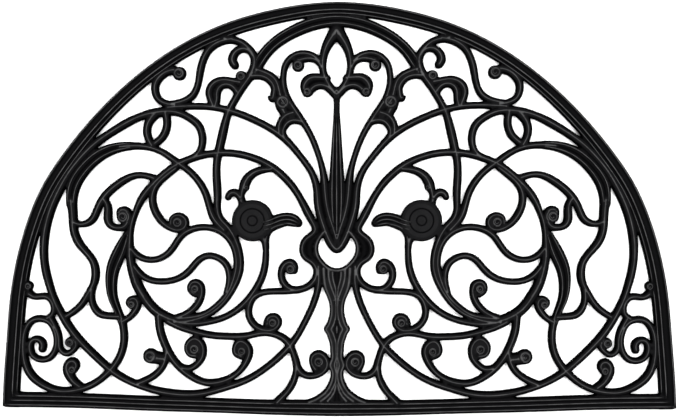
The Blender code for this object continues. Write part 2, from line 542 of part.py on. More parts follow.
def edge_lines(depth, across, up):
    """The edges of the material as rows of points, the material on their left, and whether each one closes.

    An edge that doesn't close runs from the centre line to the centre line.
    """
    inside = depth > 0
    corners = inside[:-1, :-1] * 1 + inside[:-1, 1:] + inside[1:, 1:] + inside[1:, :-1]
    follows = {}
    for row, column in zip(*np.nonzero((corners > 0) & (corners < 4))):
        around = [(row, column), (row, column + 1), (row + 1, column + 1), (row + 1, column)]
        crossings = [
            (tuple(sorted((here, there))), inside[there])
            for here, there in zip(around, around[1:] + around[:1])
            if inside[here] != inside[there]
        ]
        if not crossings[0][1]:
            crossings = crossings[1:] + crossings[:1]
        for (way_in, _), (way_out, _) in zip(crossings[::2], crossings[1::2]):
            follows[way_out] = way_in
    lines = []
    entered = set(follows.values())
    open_starts = [key for key in follows if key not in entered]
    while follows:
        key = open_starts.pop() if open_starts else next(iter(follows))
        keys = [key]
        while key in follows:
            key = follows.pop(key)
            keys.append(key)
        places = np.array([edge_place(key, depth, across, up) for key in keys])
        lines.append((places, keys[0] == keys[-1]))
    return lines


def thinned(points, tolerance):
    """The points that straight joins need, each as long as leaves every point within the tolerance of it."""
    if len(points) < 3:
        return points
    kept = [0]
    for last in range(2, len(points)):
        first = kept[-1]
        span = points[last, :2] - points[first, :2]
        between = points[first + 1:last, :2] - points[first, :2]
        off = abs(span[0] * between[:, 1] - span[1] * between[:, 0])
        if off.max() > tolerance * np.hypot(*span):
            kept.append(last - 1)
    return points[kept + [len(points) - 1]]


def enclosed_area(ring):
    """The area inside a closed ring of points, positive when it runs anticlockwise."""
    x, y = ring.T
    return (x @ np.roll(y, -1) - y @ np.roll(x, -1)) / 2


class Edge(NamedTuple):
    """One edge of the mat's material: its points at the foot of the wall and at its top, in step."""

    foot: np.ndarray
    top: np.ndarray
    closed: bool


def wall_edge(line, closed):
    """The wall's two edges: the foot on the line and the top set back by the draft."""
    before, after = np.roll(line, 1, axis=0), np.roll(line, -1, axis=0)
    if not closed:
        before[0] = line[1] * (-1, 1)
        after[-1] = line[-2] * (-1, 1)
    arriving = (line - before) / np.hypot(*(line - before).T)[:, None]
    leaving = (after - line) / np.hypot(*(after - line).T)[:, None]
    normals = arriving[:, ::-1] * (-1, 1) + leaving[:, ::-1] * (-1, 1)
    turn = np.clip((arriving * leaving).sum(axis=1), LEAST_TURN, 1)
    top = line + DRAFT * normals / (1 + turn)[:, None]
    return Edge(line, top, closed)


def wall_edges(all_bars):
    """The edges of every wall of the drawn half."""
    across = np.arange(0, MAT_WIDTH / 2 + SPARE_CELLS * CELL, CELL)
    up = np.arange(-SPARE_CELLS * CELL, TALLEST_STEP * STEP + SPARE_CELLS * CELL, CELL)
    depth = mat_depth(all_bars, across, up)
    edges = []
    for line, closed in edge_lines(depth, across, up):
        if closed and abs(enclosed_area(line[:-1])) < LEAST_OPENING:
            continue
        line = thinned(line, EDGE_TOLERANCE)
        edges.append(wall_edge(line[:-1] if closed else line, closed))
    return edges


def section_height(section, side, half):
    """The height of a bar's section at each side, lower on a slender bar."""
    sides = [-1] + [station.side for station in section] + [1]
    rises = [0] + [station.height - WALL_TOP for station in section] + [0]
    return WALL_TOP + np.interp(side, sides, rises) * np.minimum(1, half / SLENDER_HALF)


def bar_height(bar, spots):
    """The height of the bar's face over each spot, and how deep the spot lies inside the bar."""
    depth = np.full(len(spots), -MAT_WIDTH)
    side, half = np.zeros(len(spots)), np.full(len(spots), SLENDER_HALF)
    for start, end, half_start, half_end in zip(bar.points, bar.points[1:], bar.half, bar.half[1:]):
        found = reach(spots, start, end, half_start, half_end)
        nearer = found[0] > depth
        depth, side, half = (np.where(nearer, new, old) for new, old in zip(found, (depth, side, half)))
    if bar.square:
        depth = np.minimum(depth, inside_ends(bar, spots))
    return np.where(depth > 0, section_height(bar.section, side, half), WALL_TOP), depth


def boss_section(boss):
    """The section of a boss, from its middle outward."""
    return ROSETTE_SECTION if boss is max(BOSSES, key=lambda each: each.radius) else KNOB_SECTION


def boss_height(boss, spots):
    """The height of the boss's face over each spot, and how deep the spot lies inside the boss."""
    section = boss_section(boss)
    off = np.hypot(*(spots - np.array([boss.across, boss.up]) * STEP).T) / (boss.radius * STEP)
    sides = [station.side for station in section] + [1]
    heights = [station.height for station in section] + [WALL_TOP]
    return np.interp(off, sides, heights), (1 - off) * boss.radius * STEP


def face_height(all_bars, spots):
    """The height of the mat's upper face over each spot, and how deep the spot lies inside the material."""
    height = np.full(len(spots), WALL_TOP)
    depth = np.full(len(spots), -MAT_WIDTH)
    for found in [bar_height(bar, spots) for bar in all_bars] + [boss_height(boss, spots) for boss in BOSSES]:
        height = np.maximum(height, found[0])
        depth = joined(depth, found[1])
    return height, depth


def boss_rings():
    """The rings of points that shape each boss, closed on their first point, and its middle point."""
    rings = []
    for boss in BOSSES:
        for station in boss_section(boss):
            turn = np.linspace(0, 2 * pi, RING_POINTS * 2 + 1) if station.side else np.zeros(1)
            circle = np.stack([np.cos(turn), np.sin(turn), 0 * turn], axis=1)
            middle = (boss.across * STEP, boss.up * STEP, station.height)
            rings.append(circle * station.side * boss.radius * STEP + middle)
    return rings


def crest_lines(drawn):
    """The crests and grooves of the drawn bars, as rows of points with their heights."""
    lines = []
    for bar in drawn:
        along = np.gradient(bar.points, axis=0)
        normal = along[:, ::-1] * (-1, 1) / np.hypot(*along.T)[:, None]
        for station in bar.section:
            line = bar.points + normal * (station.side * bar.half)[:, None]
            height = section_height(bar.section, np.full(len(line), station.side), bar.half)
            lines.append(np.column_stack([line, height]))
    return lines


def runs(keep):
    """The (start, stop) of each unbroken run of true values."""
    ends = np.flatnonzero(np.diff(np.concatenate([[0], keep.astype(int), [0]])))
    return zip(ends[::2], ends[1::2])


def kept_crests(all_bars, drawn):
    """The stretches of the crest lines that lie on the face, clear of the walls and of each other."""
    lines = boss_rings() + crest_lines(drawn)
    points = np.concatenate(lines)
    height, depth = face_height(all_bars, points[:, :2])
    on_half = (points[:, 0] == 0) | (points[:, 0] > CREST_GAP)
    on_face = on_half & (depth > CREST_INSET) & (points[:, 2] > height - HIDDEN)
    kept = []
    taken = np.full((1, 2), -MAT_WIDTH)
    for line, good in zip(lines, np.split(on_face, np.cumsum([len(line) for line in lines])[:-1])):
        spacing = np.hypot(*(line[:, None, :2] - taken).transpose(2, 0, 1)).min(axis=1)
        good = good & (spacing > CREST_GAP)
        kept += [thinned(line[first:last], CREST_TOLERANCE) for first, last in runs(good)]
        taken = np.concatenate([taken, line[good, :2]])
    return kept


def links_of(count, closed, first):
    """The joins along a line of points numbered from first on."""
    numbers = list(range(first, first + count))
    return list(zip(numbers, numbers[1:] + numbers[:closed]))


def in_material(spots, points, links):
    """Whether each spot lies in the material.

    A line from such a spot to the right crosses the edges an odd number of times.
    """
    start, end = (points[list(ends)] for ends in zip(*links))
    above = spots[:, 1:] > start[:, 1]
    straddles = above != (spots[:, 1:] > end[:, 1])
    rise = np.where(start[:, 1] == end[:, 1], 1, end[:, 1] - start[:, 1])
    crossing = start[:, 0] + (spots[:, 1:] - start[:, 1]) / rise * (end[:, 0] - start[:, 0])
    return (straddles & (crossing > spots[:, :1])).sum(axis=1) % 2 == 1


def stretched(points, edge_links, crest_links):
    """The places and anticlockwise triangles of the material between its edges, and each point's place."""
    links = edge_links + crest_links
    places, _, faces, origins, _, _ = delaunay_2d_cdt(points.tolist(), links, [], 0, COINCIDENT)
    places, faces = np.array(places), np.array(faces)
    corners = places[faces]
    sides = corners[:, 1:] - corners[:, :1]
    clockwise = sides[:, 0, 0] * sides[:, 1, 1] < sides[:, 0, 1] * sides[:, 1, 0]
    faces[clockwise] = faces[clockwise, ::-1]
    faces = faces[in_material(corners.mean(axis=1), points, edge_links)]
    return places, faces, {number: place for place, numbers in enumerate(origins) for number in numbers}


def half_mat():
    """The vertices and faces of the drawn half, open along the centre line."""
    drawn, reflected = bars()
    all_bars = drawn + reflected
    edges = wall_edges(all_bars)
    crests = kept_crests(all_bars, drawn)
    edge_links, crest_links = [], []
    count = 0
    for edge in edges:
        edge_links += links_of(len(edge.foot), edge.closed, count)
        count += len(edge.foot)
    rim_count = count
    for crest in crests:
        crest_links += links_of(len(crest), False, count)
        count += len(crest)
    foot = np.concatenate([edge.foot for edge in edges])
    top = np.concatenate([edge.top for edge in edges] + [crest[:, :2] for crest in crests])
    top_places, top_faces, top_of = stretched(top, edge_links, crest_links)
    foot_places, foot_faces, foot_of = stretched(foot, edge_links, [])
    height, _ = face_height(all_bars, top_places)
    rim = [top_of[number] for number in range(rim_count)]
    height[rim] = WALL_TOP
    lift = len(foot_places)
    walls = [
        (foot_of[here], foot_of[there], top_of[there] + lift, top_of[here] + lift)
        for here, there in edge_links
    ]
    vertices = np.concatenate([
        np.column_stack([foot_places, np.zeros(lift)]), np.column_stack([top_places, height])
    ])
    return vertices, foot_faces[:, ::-1].tolist() + (top_faces + lift).tolist() + walls


def black_rubber():
    """The mat's moulded black rubber."""
    material = bpy.data.materials.new("black_rubber")
    material.use_nodes = True
    shader = material.node_tree.nodes["Principled BSDF"]
    shader.inputs["Base Color"].default_value = (0.015, 0.015, 0.015, 1)
    shader.inputs["Roughness"].default_value = 0.5
    return material


def doormat():
    """The whole mat: the drawn half and its mirror image, its origin in the middle of its underside."""
    vertices, faces = half_mat()
    vertices[:, 1] -= (vertices[:, 1].min() + vertices[:, 1].max()) / 2
    mesh = bpy.data.meshes.new("doormat")
    mesh.from_pydata(vertices.tolist(), [], faces)
    mesh.materials.append(black_rubber())
    mesh.shade_smooth()
    mesh.set_sharp_from_angle(angle=SHARP_ANGLE)
    mat = bpy.data.objects.new("doormat", mesh)
    bpy.context.collection.objects.link(mat)
    mirror = mat.modifiers.new("other_half", "MIRROR")
    mirror.merge_threshold = MERGE_DISTANCE
    return mat


def main():
    for old in list(bpy.data.objects):
        bpy.data.objects.remove(old)
    doormat()


main()
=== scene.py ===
"""A half-round rubber doormat of open scrollwork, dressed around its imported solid.

The mat is one moulding, so its skin is one closed mesh, with the raised beads and spirals that run over it.
Its left and right halves mirror each other, so one half is drawn: the bars of the scrollwork are strands on a
grid of steps, and the skin is stretched over how high each strand stands at each spot.
"""

from __future__ import annotations

import logging
from dataclasses import dataclass, field
from enum import Enum
from math import hypot, pi, radians, sin
from typing import Any, Iterator, NamedTuple, Sequence

import bpy
import numpy as np
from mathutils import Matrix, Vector
from mathutils.geometry import delaunay_2d_cdt

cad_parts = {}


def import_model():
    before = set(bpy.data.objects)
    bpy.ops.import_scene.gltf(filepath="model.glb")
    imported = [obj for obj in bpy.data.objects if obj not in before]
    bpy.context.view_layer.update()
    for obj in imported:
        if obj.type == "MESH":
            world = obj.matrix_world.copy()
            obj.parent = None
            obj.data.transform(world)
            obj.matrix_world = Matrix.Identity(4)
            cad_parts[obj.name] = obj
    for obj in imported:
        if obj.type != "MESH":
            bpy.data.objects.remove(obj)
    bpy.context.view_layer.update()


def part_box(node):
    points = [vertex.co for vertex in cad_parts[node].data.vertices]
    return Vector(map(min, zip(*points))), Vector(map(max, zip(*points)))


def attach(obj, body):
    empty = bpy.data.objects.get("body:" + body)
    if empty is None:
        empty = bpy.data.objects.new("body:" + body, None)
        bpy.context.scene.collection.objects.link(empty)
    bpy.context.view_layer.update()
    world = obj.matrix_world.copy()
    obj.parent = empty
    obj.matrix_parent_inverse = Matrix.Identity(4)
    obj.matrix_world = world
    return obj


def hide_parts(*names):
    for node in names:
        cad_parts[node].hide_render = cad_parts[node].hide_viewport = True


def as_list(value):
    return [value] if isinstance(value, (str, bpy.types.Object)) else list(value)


log = logging.getLogger("doormat")

MAT_NODE = "doormat"
BODY = "root"
FLOOR = "studio_floor"

HALF_WIDTH_STEPS = 337.34  # the drawing's grid steps from the centre line to the mat's widest place
MIDDLE_STEPS = 207.55  # from the grid's front edge up to mid-depth
CORNER_STEPS = 8.0  # from there up to the mat's front corners
BORDER_STEPS = 5  # kept empty round the mat
FAR = 1.0  # a depth or height outside everything, in metres
CENTRED = 1e-7  # places nearer to the centre line lie on it
MERGED = 1e-8  # points nearer to each other are one
SHARP_EDGE = radians(50)


class Ribs(Enum):
    """How a bar's face is ribbed along its length."""

    WEB = "web"
    PLAIN = "plain"
    TWIN = "twin"
    TRIPLE = "triple"
    FRAME = "frame"


class Station(NamedTuple):
    """A crest or a groove of a section.

    side runs from -1 at a bar's right edge, seen along its path, to 1 at its left one, or from 0 in the
    middle of a round end to 1 at its edge. rise is the height over the top of the side wall, as a share of
    the relief, and bead the width of the bead on it in metres.
    """

    side: float
    rise: float
    bead: float = 0.0


class Turned(NamedTuple):
    """The turned face of a round end: its rings from the middle outward, and how broad the painted highlight
    on its crests spreads.
    """

    rings: tuple[Station, ...]
    highlight_spread: float


# the last number of each face spreads the painted highlight over its crest rings
KNOB = Turned((
    Station(0, 0.7), Station(0.15, 0.72), Station(0.35, 0.95), Station(0.55, 1.15), Station(0.72, 1.05),
    Station(0.88, 0.7), Station(1, 0.2),
), 0.87)
GROOVED_DISC = Turned((
    Station(0, 0.75), Station(0.19, 0.75), Station(0.235, 0.34), Station(0.28, 0.75), Station(0.525, 0.75),
    Station(0.57, 0.3), Station(0.615, 0.75), Station(0.8, 0.75), Station(0.93, 0.7), Station(1, 0.2),
), 1.246)


class Boss(NamedTuple):
    """A round end or knob: its middle and radius in grid steps, and its face."""

    across: float
    up: float
    radius: float
    turned: Turned = KNOB


class Strand(NamedTuple):
    """One raised bar of the moulding, as a smooth path through its knots.

    knots are (across, up, wide) rows in grid steps: across from the mat's centre line, up from its front
    edge, and the bar's width there. runs_on says that it crosses the centre line into its own mirror image,
    and square that its ends are cut straight across.
    """

    name: str
    knots: tuple[tuple[float, float, float], ...]
    ribs: Ribs = Ribs.PLAIN
    runs_on: bool = False
    square: bool = False


STRANDS = (
    Strand("frame", (
        (328.9, 8.5, 16.9), (327.7, 36, 17.1), (324.9, 76, 16.8), (321.6, 116, 16.8), (316.4, 150, 16.2),
        (306.4, 188, 15.9), (288.8, 230, 15.4), (272.3, 255.4, 15.3), (228, 308, 15), (168.6, 357.3, 14.5),
        (109.3, 387.2, 15), (80, 396.2, 15.2), (50.4, 402.8, 14.9), (0, 408.3, 13.7),
    ), Ribs.FRAME, True, True),
    Strand("sill", (
        (334.5, 15.8, 15.7), (253.5, 14.6, 15.3), (187, 12.2, 15.2), (122, 10.4, 15), (60, 8.7, 15.4),
        (30, 8.4, 16.2), (0, 8.1, 16.3),
    ), Ribs.TRIPLE, True, True),
    Strand("outer_garland", (
        (146, 258.5, 6), (138.7, 264.3, 7), (135.2, 273, 8), (135.4, 282.5, 8.2), (139.2, 291.8, 8.3),
        (147, 298.6, 8.2), (156.3, 303.4, 8), (165.5, 305.5, 8.3), (179.5, 304.9, 10.2), (193.7, 302, 8.6),
        (212.1, 293.8, 9), (228.2, 284.1, 8.6), (243.8, 272.9, 8.8), (257.6, 259.3, 8.6), (269.8, 243.8, 9),
        (279.4, 227.2, 9.4), (287.1, 210.3, 9.2), (292.3, 193.5, 9.2), (295.1, 176.5, 9.2),
        (295.2, 156.5, 8.6), (291.3, 136.3, 8.4), (285.7, 119.3, 7.7), (276.6, 100.2, 8.6), (264, 81.3, 8.8),
        (243.7, 60.1, 8.4), (223.2, 42.8, 8), (197.7, 30.1, 7.6), (165.4, 22.5, 8.4), (137, 22.4, 8.2),
        (113, 28.3, 8), (89.5, 36.8, 7.5), (69.5, 49.6, 7.4), (55.1, 62, 7.7), (42.5, 76.5, 7.2),
        (32.5, 93.5, 6.9), (23.3, 113.5, 7.2), (19.3, 127, 7.4), (18, 138, 8), (18.5, 150.5, 8),
    )),
    Strand("inner_garland_leaf", (
        (267.5, 213, 10.6), (265.5, 229.5, 13.6), (253.7, 249.1, 13.8), (238.3, 262.5, 13.2),
        (220, 269.7, 10.8), (208, 271.2, 8.5),
    ), Ribs.TWIN),
    Strand("inner_garland", (
        (218, 270.2, 8), (203.8, 271.2, 8), (189.5, 269.9, 7.2), (175.1, 264.6, 7.1), (161.8, 255.5, 7.5),
        (150.9, 247.8, 7.5), (139.7, 236.5, 7.6), (131.6, 222.3, 7.8), (127.6, 208.5, 7.8),
        (123.5, 198.5, 8.6), (118, 191.5, 8), (113, 186.5, 8),
    )),
    Strand("wavy_bar", (
        (267.3, 216.5, 10.4), (265.9, 200.5, 9.5), (265, 186.5, 9), (259.6, 173, 8.8), (251.6, 163.4, 8),
        (245.2, 154.2, 8.2), (243.1, 143.3, 9), (244.9, 132.5, 8.3), (250.3, 122.6, 7.6), (254.8, 115, 7.7),
        (261.8, 107.2, 7.4), (272.3, 100, 7),
    )),
    Strand("wavy_branch", (
        (246.1, 128.5, 7), (246.9, 117.5, 7), (244.5, 108.7, 7.6), (237.9, 101.9, 8), (229.2, 100.1, 7.5),
        (219, 99.7, 7.5),
    )),
    Strand("side_leaf", (
        (211.8, 181.5, 8), (218.7, 164.3, 14.3), (225.2, 148.5, 14), (227.2, 132.5, 12), (225.2, 117.5, 9.9),
        (221, 106.5, 8.4), (216.5, 94.5, 8),
    ), Ribs.TWIN),
    Strand("corner_scroll", (
        (216.5, 96.5, 8), (214.3, 82.5, 8.3), (215.2, 69.5, 8.2), (220.7, 55.3, 8.2), (231.7, 42, 8),
        (245.8, 31.4, 7.7), (262.6, 25.8, 8.1), (281, 25.2, 8), (297.2, 31.3, 8.8), (309, 41.5, 9),
        (314.7, 55.7, 8.3), (315.8, 71.5, 7.5), (313.8, 85.6, 7.5), (306.8, 95.6, 7.5), (297.2, 97.2, 7.5),
        (289.6, 94, 7), (284.5, 86.5, 7.2), (282.2, 75.5, 7.2), (284.3, 64.8, 7.2), (290.4, 57.6, 7.2),
        (298.3, 56.1, 7), (305.7, 59.5, 7), (309.2, 67.5, 7.4), (307, 75.4, 7.4), (301.4, 76.7, 7.3),
        (296.6, 72, 8.6), (297, 67, 8.4),
    )),
    Strand("corner_twin", (
        (289.1, 99.5, 6.5), (283, 88.6, 6.5), (279.6, 76.5, 6.3), (278.4, 66.8, 6.5), (272.8, 62.3, 6.7),
        (265.8, 65.5, 6.3), (262.1, 71.5, 6.5), (264.7, 77.5, 6),
    )),
    Strand("frame_hook", (
        (310, 122.5, 8.5), (304.4, 119.5, 7.2), (297.2, 120, 7.2), (291.1, 119, 7.2), (286.3, 113.5, 7.2),
        (285, 107.5, 7.2), (286.6, 101.8, 6.6), (291.5, 98, 6.5),
    )),
    Strand("comma", (
        (258.6, 29.5, 8), (265.3, 34.5, 9.3), (270, 41.5, 10.4), (272, 49, 8.8), (268.7, 54.4, 7.5),
        (264, 54.3, 7), (262, 49.7, 6.4), (264.2, 46, 5.5),
    )),
    Strand("side_curl", (
        (214.5, 95.3, 7.2), (208, 99.5, 7.1), (202.4, 106.3, 7.8), (200, 113, 6.8), (202.5, 117.6, 6),
        (206.8, 117.5, 6), (209.8, 113.6, 6.2), (207.3, 110, 5),
    )),
    Strand("great_scroll", (
        (161.3, 95.5, 9), (170.4, 98.7, 10.4), (179.5, 103.4, 10.8), (187.8, 110.8, 11), (194.7, 120.5, 11),
        (200.2, 130, 11), (204.3, 141.5, 10.8), (207, 152.5, 10), (208.2, 166.5, 8.4), (207.8, 177, 6.4),
        (207.3, 184.5, 5.9), (206.1, 192.5, 6.3), (203.3, 202, 6.5), (197.8, 215.3, 8.2), (187.7, 229.3, 8.7),
        (176, 240.9, 8), (163.4, 250.5, 8), (149.2, 257.3, 8), (133, 262.1, 7.9), (117, 264, 7.8),
        (100.8, 263.2, 7.8), (84.7, 259.2, 7.7), (69.7, 252.5, 8), (56.5, 242.9, 8.1), (45, 230.8, 7.8),
        (35.7, 216.3, 7.8), (28.4, 202.2, 8.7), (23.5, 193, 7.8), (21.6, 186.5, 7), (26, 181, 6.8),
        (31, 177, 6.8), (34.2, 171, 6.8), (34.4, 164.5, 6.8), (31, 158.5, 6.8), (24.8, 154.4, 7),
        (20.5, 147.5, 7.4), (21.9, 137.2, 7.8), (30.1, 129.2, 7.6), (42.5, 126, 7.4), (56.6, 125, 7),
        (72.7, 124.1, 7), (82.5, 120.1, 7.8), (88.1, 110.5, 7.8), (88, 99.4, 7.6), (81.3, 90, 7.6),
        (71.6, 86.3, 7.2), (62.6, 87.7, 7.3), (58, 95, 6.3), (62.3, 100.2, 6.3), (68.6, 98.3, 6.4),
        (70, 92.5, 8.5),
    )),
    Strand("inner_volute", (
        (161.5, 248.4, 6), (172.8, 239.8, 7), (182.9, 228.3, 7.2), (185.4, 215.5, 8.2), (182, 204, 8.3),
        (175, 194.2, 8.2), (166.6, 188.4, 7.1), (158.8, 186.6, 6.4), (152.9, 189.2, 5.9), (151.1, 195, 5.7),
        (154.6, 200.1, 5.7), (160.3, 201.4, 6), (165.8, 198.3, 5.5), (166.4, 192.5, 5.5),
    )),
    Strand("upper_tendril", (
        (206.3, 167.5, 6), (200.4, 160.9, 7), (190.6, 156.8, 6.9), (179.5, 157.6, 7), (169.6, 163.3, 7.3),
        (163.1, 171.3, 7.3), (156.6, 180.4, 7.4), (148.2, 186.3, 7.4), (138.1, 189.1, 7.2), (127, 188.8, 7),
        (117.3, 185.4, 7.5), (109.1, 178.7, 7.3), (104, 170.5, 7.1), (101.1, 160.5, 7.1), (100.7, 150.5, 7.2),
        (102.9, 139.5, 7.2), (107, 128.1, 6.8), (113.4, 117.9, 6.6), (122.2, 109.4, 6.4), (132.6, 102.7, 6.2),
        (145.8, 99.3, 7), (159.3, 98, 7.5),
    )),
    Strand("rising_bar", (
        (84.2, 344, 9), (93.5, 331.1, 8.1), (102.1, 317.6, 8), (108.9, 304, 8), (113.9, 286.5, 9.4),
        (117.5, 270.5, 9.2), (120.3, 256.5, 8.4), (120.8, 238.5, 8.6), (119.9, 220.5, 8.4), (119.7, 207, 7),
        (116.8, 198.1, 7), (109.7, 190.1, 7.2), (103.7, 181.2, 6.8), (99.2, 170.5, 6.6), (96.7, 159.5, 6.4),
        (96.6, 148.4, 6.7), (100.5, 134.8, 6.5), (107.3, 122.4, 6.5), (115.6, 111.8, 6.5),
        (125.8, 103.6, 6.5), (137.1, 98.5, 7.1), (150.2, 95.2, 7.5), (163.4, 94.5, 7.5),
    )),
    Strand("lower_tendril", (
        (203.5, 150, 6), (196.7, 141.6, 7), (187.6, 136.3, 7), (176.5, 134.7, 7), (165.4, 136, 7),
        (154.3, 140.7, 7.4), (145.7, 148.7, 7.5), (138, 157, 7.4), (129, 160.7, 7), (120, 158.8, 7.2),
        (111.7, 152.4, 7.5), (108.2, 142.5, 7.3), (108.5, 132.5, 7.1), (111, 124.5, 6),
    )),
    Strand("mid_curl", (
        (161.3, 98.5, 7), (152.2, 102, 7), (143.3, 108.3, 8), (137.4, 117, 7.8), (135.2, 125.5, 6.4),
        (137.4, 132.4, 6.4), (142.2, 134.6, 6.2), (146.9, 131.6, 6.4), (147.4, 126.2, 6.2),
        (142.2, 122.3, 7.5),
    )),
    Strand("rosette_stem", (
        (73.5, 179, 10), (71.9, 173, 7.2), (71.3, 162.5, 7.1), (72.3, 150.5, 7.6), (76.4, 136.5, 8),
        (83.3, 124.5, 7.6), (92.1, 113.5, 7.8), (101.7, 105.3, 7.3), (114.9, 98.3, 7.1), (129, 94.4, 7.2),
        (144.2, 92.7, 7.2), (162.3, 94.5, 7),
    )),
    Strand("lower_scroll", (
        (179.3, 100.5, 8.6), (177.9, 86.4, 8.7), (173.3, 72.3, 8.5), (166.4, 59, 8.4), (157, 47.8, 8.4),
        (145.3, 39, 8), (133, 33.7, 7.6), (121, 33.7, 7.7), (108.4, 37.6, 7.2), (97.8, 45, 7.2),
        (90.3, 56.2, 8.2), (87.8, 66.4, 7.5), (91.5, 73.1, 6.4), (97.3, 75, 6.5), (101.8, 70.5, 6.5),
        (101.7, 63.3, 7), (95.5, 60, 8),
    )),
    Strand("lower_branch", (
        (170.9, 66.5, 7), (172.7, 55.5, 7.5), (178.2, 45.5, 7.6), (187.4, 38, 7.8), (200.3, 32.2, 7.8),
    )),
    Strand("lower_neck", (
        (172.5, 57.5, 10), (179.5, 57.9, 13.2), (186, 59.3, 13),
    )),
    Strand("lower_curl", (
        (155.3, 48.5, 7), (147.7, 47.6, 7.2), (140.5, 52, 7.6), (135.5, 58.5, 7.4), (134, 66.5, 7),
        (136.6, 74, 6.4), (142.6, 77.6, 6.4), (148.6, 74.3, 6.2), (151, 68, 6), (148.5, 62.3, 6),
        (141.5, 60.6, 7.5),
    )),
    Strand("centre_scroll", (
        (169.4, 95, 8), (157.3, 89.1, 7.6), (143.2, 84.7, 7.6), (127, 81, 7.6), (108.9, 79.7, 7.5),
        (90.8, 80.3, 7.5), (74.7, 83.4, 7.4), (61.6, 81.7, 7.5), (51.4, 76.1, 8.2), (44.7, 65.5, 7.7),
        (41.2, 54.5, 8.1), (37.6, 45.3, 8.1), (30.5, 40.7, 7.6), (21.7, 40.8, 7.2), (14.1, 44.3, 6.7),
        (9.8, 51.5, 7), (11.8, 59.2, 6.4), (18.5, 63.2, 6.3), (24.4, 60, 5.8), (25.3, 54, 5.8),
        (21.5, 47.5, 8.5),
    )),
    Strand("sill_branch", (
        (40.8, 53.5, 7), (41.8, 40.5, 7.2), (45.7, 30.7, 8.1), (49.3, 25.2, 7.8), (57.2, 16.8, 8.6),
        (60, 13.8, 9),
    )),
    Strand("bracket_curl", (
        (38.5, 126.5, 7), (47.5, 128.1, 7.2), (54.2, 134.8, 7.9), (55.8, 144, 7.8), (52.2, 151.9, 7.8),
        (46, 154.2, 7.2), (42.3, 150.5, 7), (42.6, 145.6, 7),
    )),
    Strand("rosette_arch", (
        (95.3, 211.5, 7), (95.4, 221.5, 5.9), (93.4, 230, 10.1), (89.3, 238.5, 10.1), (82.7, 244.1, 8.9),
        (74, 246.9, 7.7), (66, 247.4, 5.6),
    )),
    Strand("rosette_hook", (
        (109.2, 219.4, 7), (107.6, 222.4, 7.8), (103.3, 224.1, 8.4), (98.8, 221.5, 8), (95.8, 216.5, 8),
        (94.3, 209.5, 8),
    )),
    Strand("rosette_leaf", (
        (74.7, 190.5, 12), (65.7, 192.5, 14), (57.6, 195.7, 14.3), (49.5, 197.2, 13.8), (42.5, 195.5, 12.3),
        (38.6, 193.3, 8.6),
    ), Ribs.TRIPLE),
    Strand("rosette_flow", (
        (71.3, 169.5, 7), (70.9, 178, 6.4), (67.4, 185.8, 6.4), (60.6, 190.4, 6), (53.5, 192.3, 5),
    )),
    Strand("ring_arch", (
        (104.8, 378, 8), (113.9, 376.4, 8.2), (121.3, 373.4, 8.5), (128.3, 367.7, 8.2), (133, 360, 8),
        (136.2, 350.5, 8.1), (138.2, 339.5, 7.7), (140.4, 329.7, 7.3), (145.6, 320.9, 7.9), (154.3, 316, 7.4),
        (165.4, 313.5, 7),
    )),
    Strand("ring_hook", (
        (163.5, 347.5, 9), (171.5, 345, 8.8), (178, 340.1, 8.9), (182.2, 333, 8.7), (182.4, 325, 8.3),
        (178.7, 317.5, 7.6), (171.4, 313.6, 7.6), (162.3, 312, 7.5),
    )),
    Strand("link_outer", (
        (183.5, 302.5, 11), (188.3, 296, 9.3), (190.9, 287.5, 8.8), (189.4, 278.5, 8.4), (185.6, 271.5, 8),
    )),
    Strand("link_inner", (
        (172.4, 305.5, 8.5), (170.8, 297.5, 8.5), (171.3, 288.5, 8.6), (175.6, 279.7, 8.5), (182.4, 273.7, 8),
    )),
    Strand("sheaf_outer", (
        (169.4, 309.7, 7), (157.3, 310.5, 7.2), (142.1, 311, 7.4), (127, 310.3, 7.3), (111.9, 307.6, 7.5),
        (96.8, 302.9, 7.5), (81.7, 296.5, 7.6), (67.5, 289.1, 7.7), (54.7, 280.3, 8.2), (43.1, 268.4, 7.3),
        (33.6, 256.6, 7), (26, 245.5, 7.2), (21.7, 235, 7.7), (19.7, 223.5, 8.3), (18.9, 212.5, 8.8),
        (16.8, 202, 9), (13.4, 191, 9.3), (9.2, 180, 9.5), (5, 172, 9.8), (0, 167.4, 9.2),
    ), Ribs.PLAIN, True),
    Strand("sheaf_inner", (
        (17, 355.5, 7.5), (23, 360.5, 7.5), (30.5, 363.1, 7.4), (38.5, 362.8, 7.3), (45.9, 358.8, 7.3),
        (51.2, 352, 7.2), (53.4, 343, 6.8), (53.4, 332.5, 7.1), (50.3, 321, 7.1), (43.7, 309.4, 7.2),
        (35.4, 297, 7.3), (27.9, 284.7, 6.5), (22.2, 272.4, 6.5), (17.8, 259.9, 6.4), (14.7, 248.8, 6.9),
        (12.8, 237.5, 8), (11.8, 225.5, 8), (10.3, 212.5, 8), (7.5, 200.5, 8), (4, 189.5, 7), (0.5, 178, 6),
    )),
    Strand("spear", (
        (0, 326, 8), (0, 310, 6.3), (0, 290, 8.4), (0, 262, 12.2), (0, 240, 15), (0, 216, 16), (0, 194, 12),
        (0, 174, 6),
    ), Ribs.TRIPLE),
    Strand("almond", (
        (0, 386, 15), (4.3, 380, 13), (9.3, 372, 10.6), (12.8, 362.5, 8.8), (14, 352.5, 7.7),
        (12.5, 341.9, 7.3), (7.9, 332, 7.6), (0, 322, 9),
    )),
    Strand("finial_scroll", (
        (9.5, 338.5, 7.5), (17.5, 339.2, 8.6), (25.6, 338.6, 10), (30.8, 334.3, 10.4), (32.8, 328.5, 7.4),
        (30.5, 323.2, 6),
    )),
    Strand("finial_lip", (
        (2.5, 323.5, 9), (8, 328.9, 8.8), (15, 331.5, 8.2), (21.9, 330.2, 8.8), (27, 325.5, 8),
    )),
    Strand("finial_hook", (
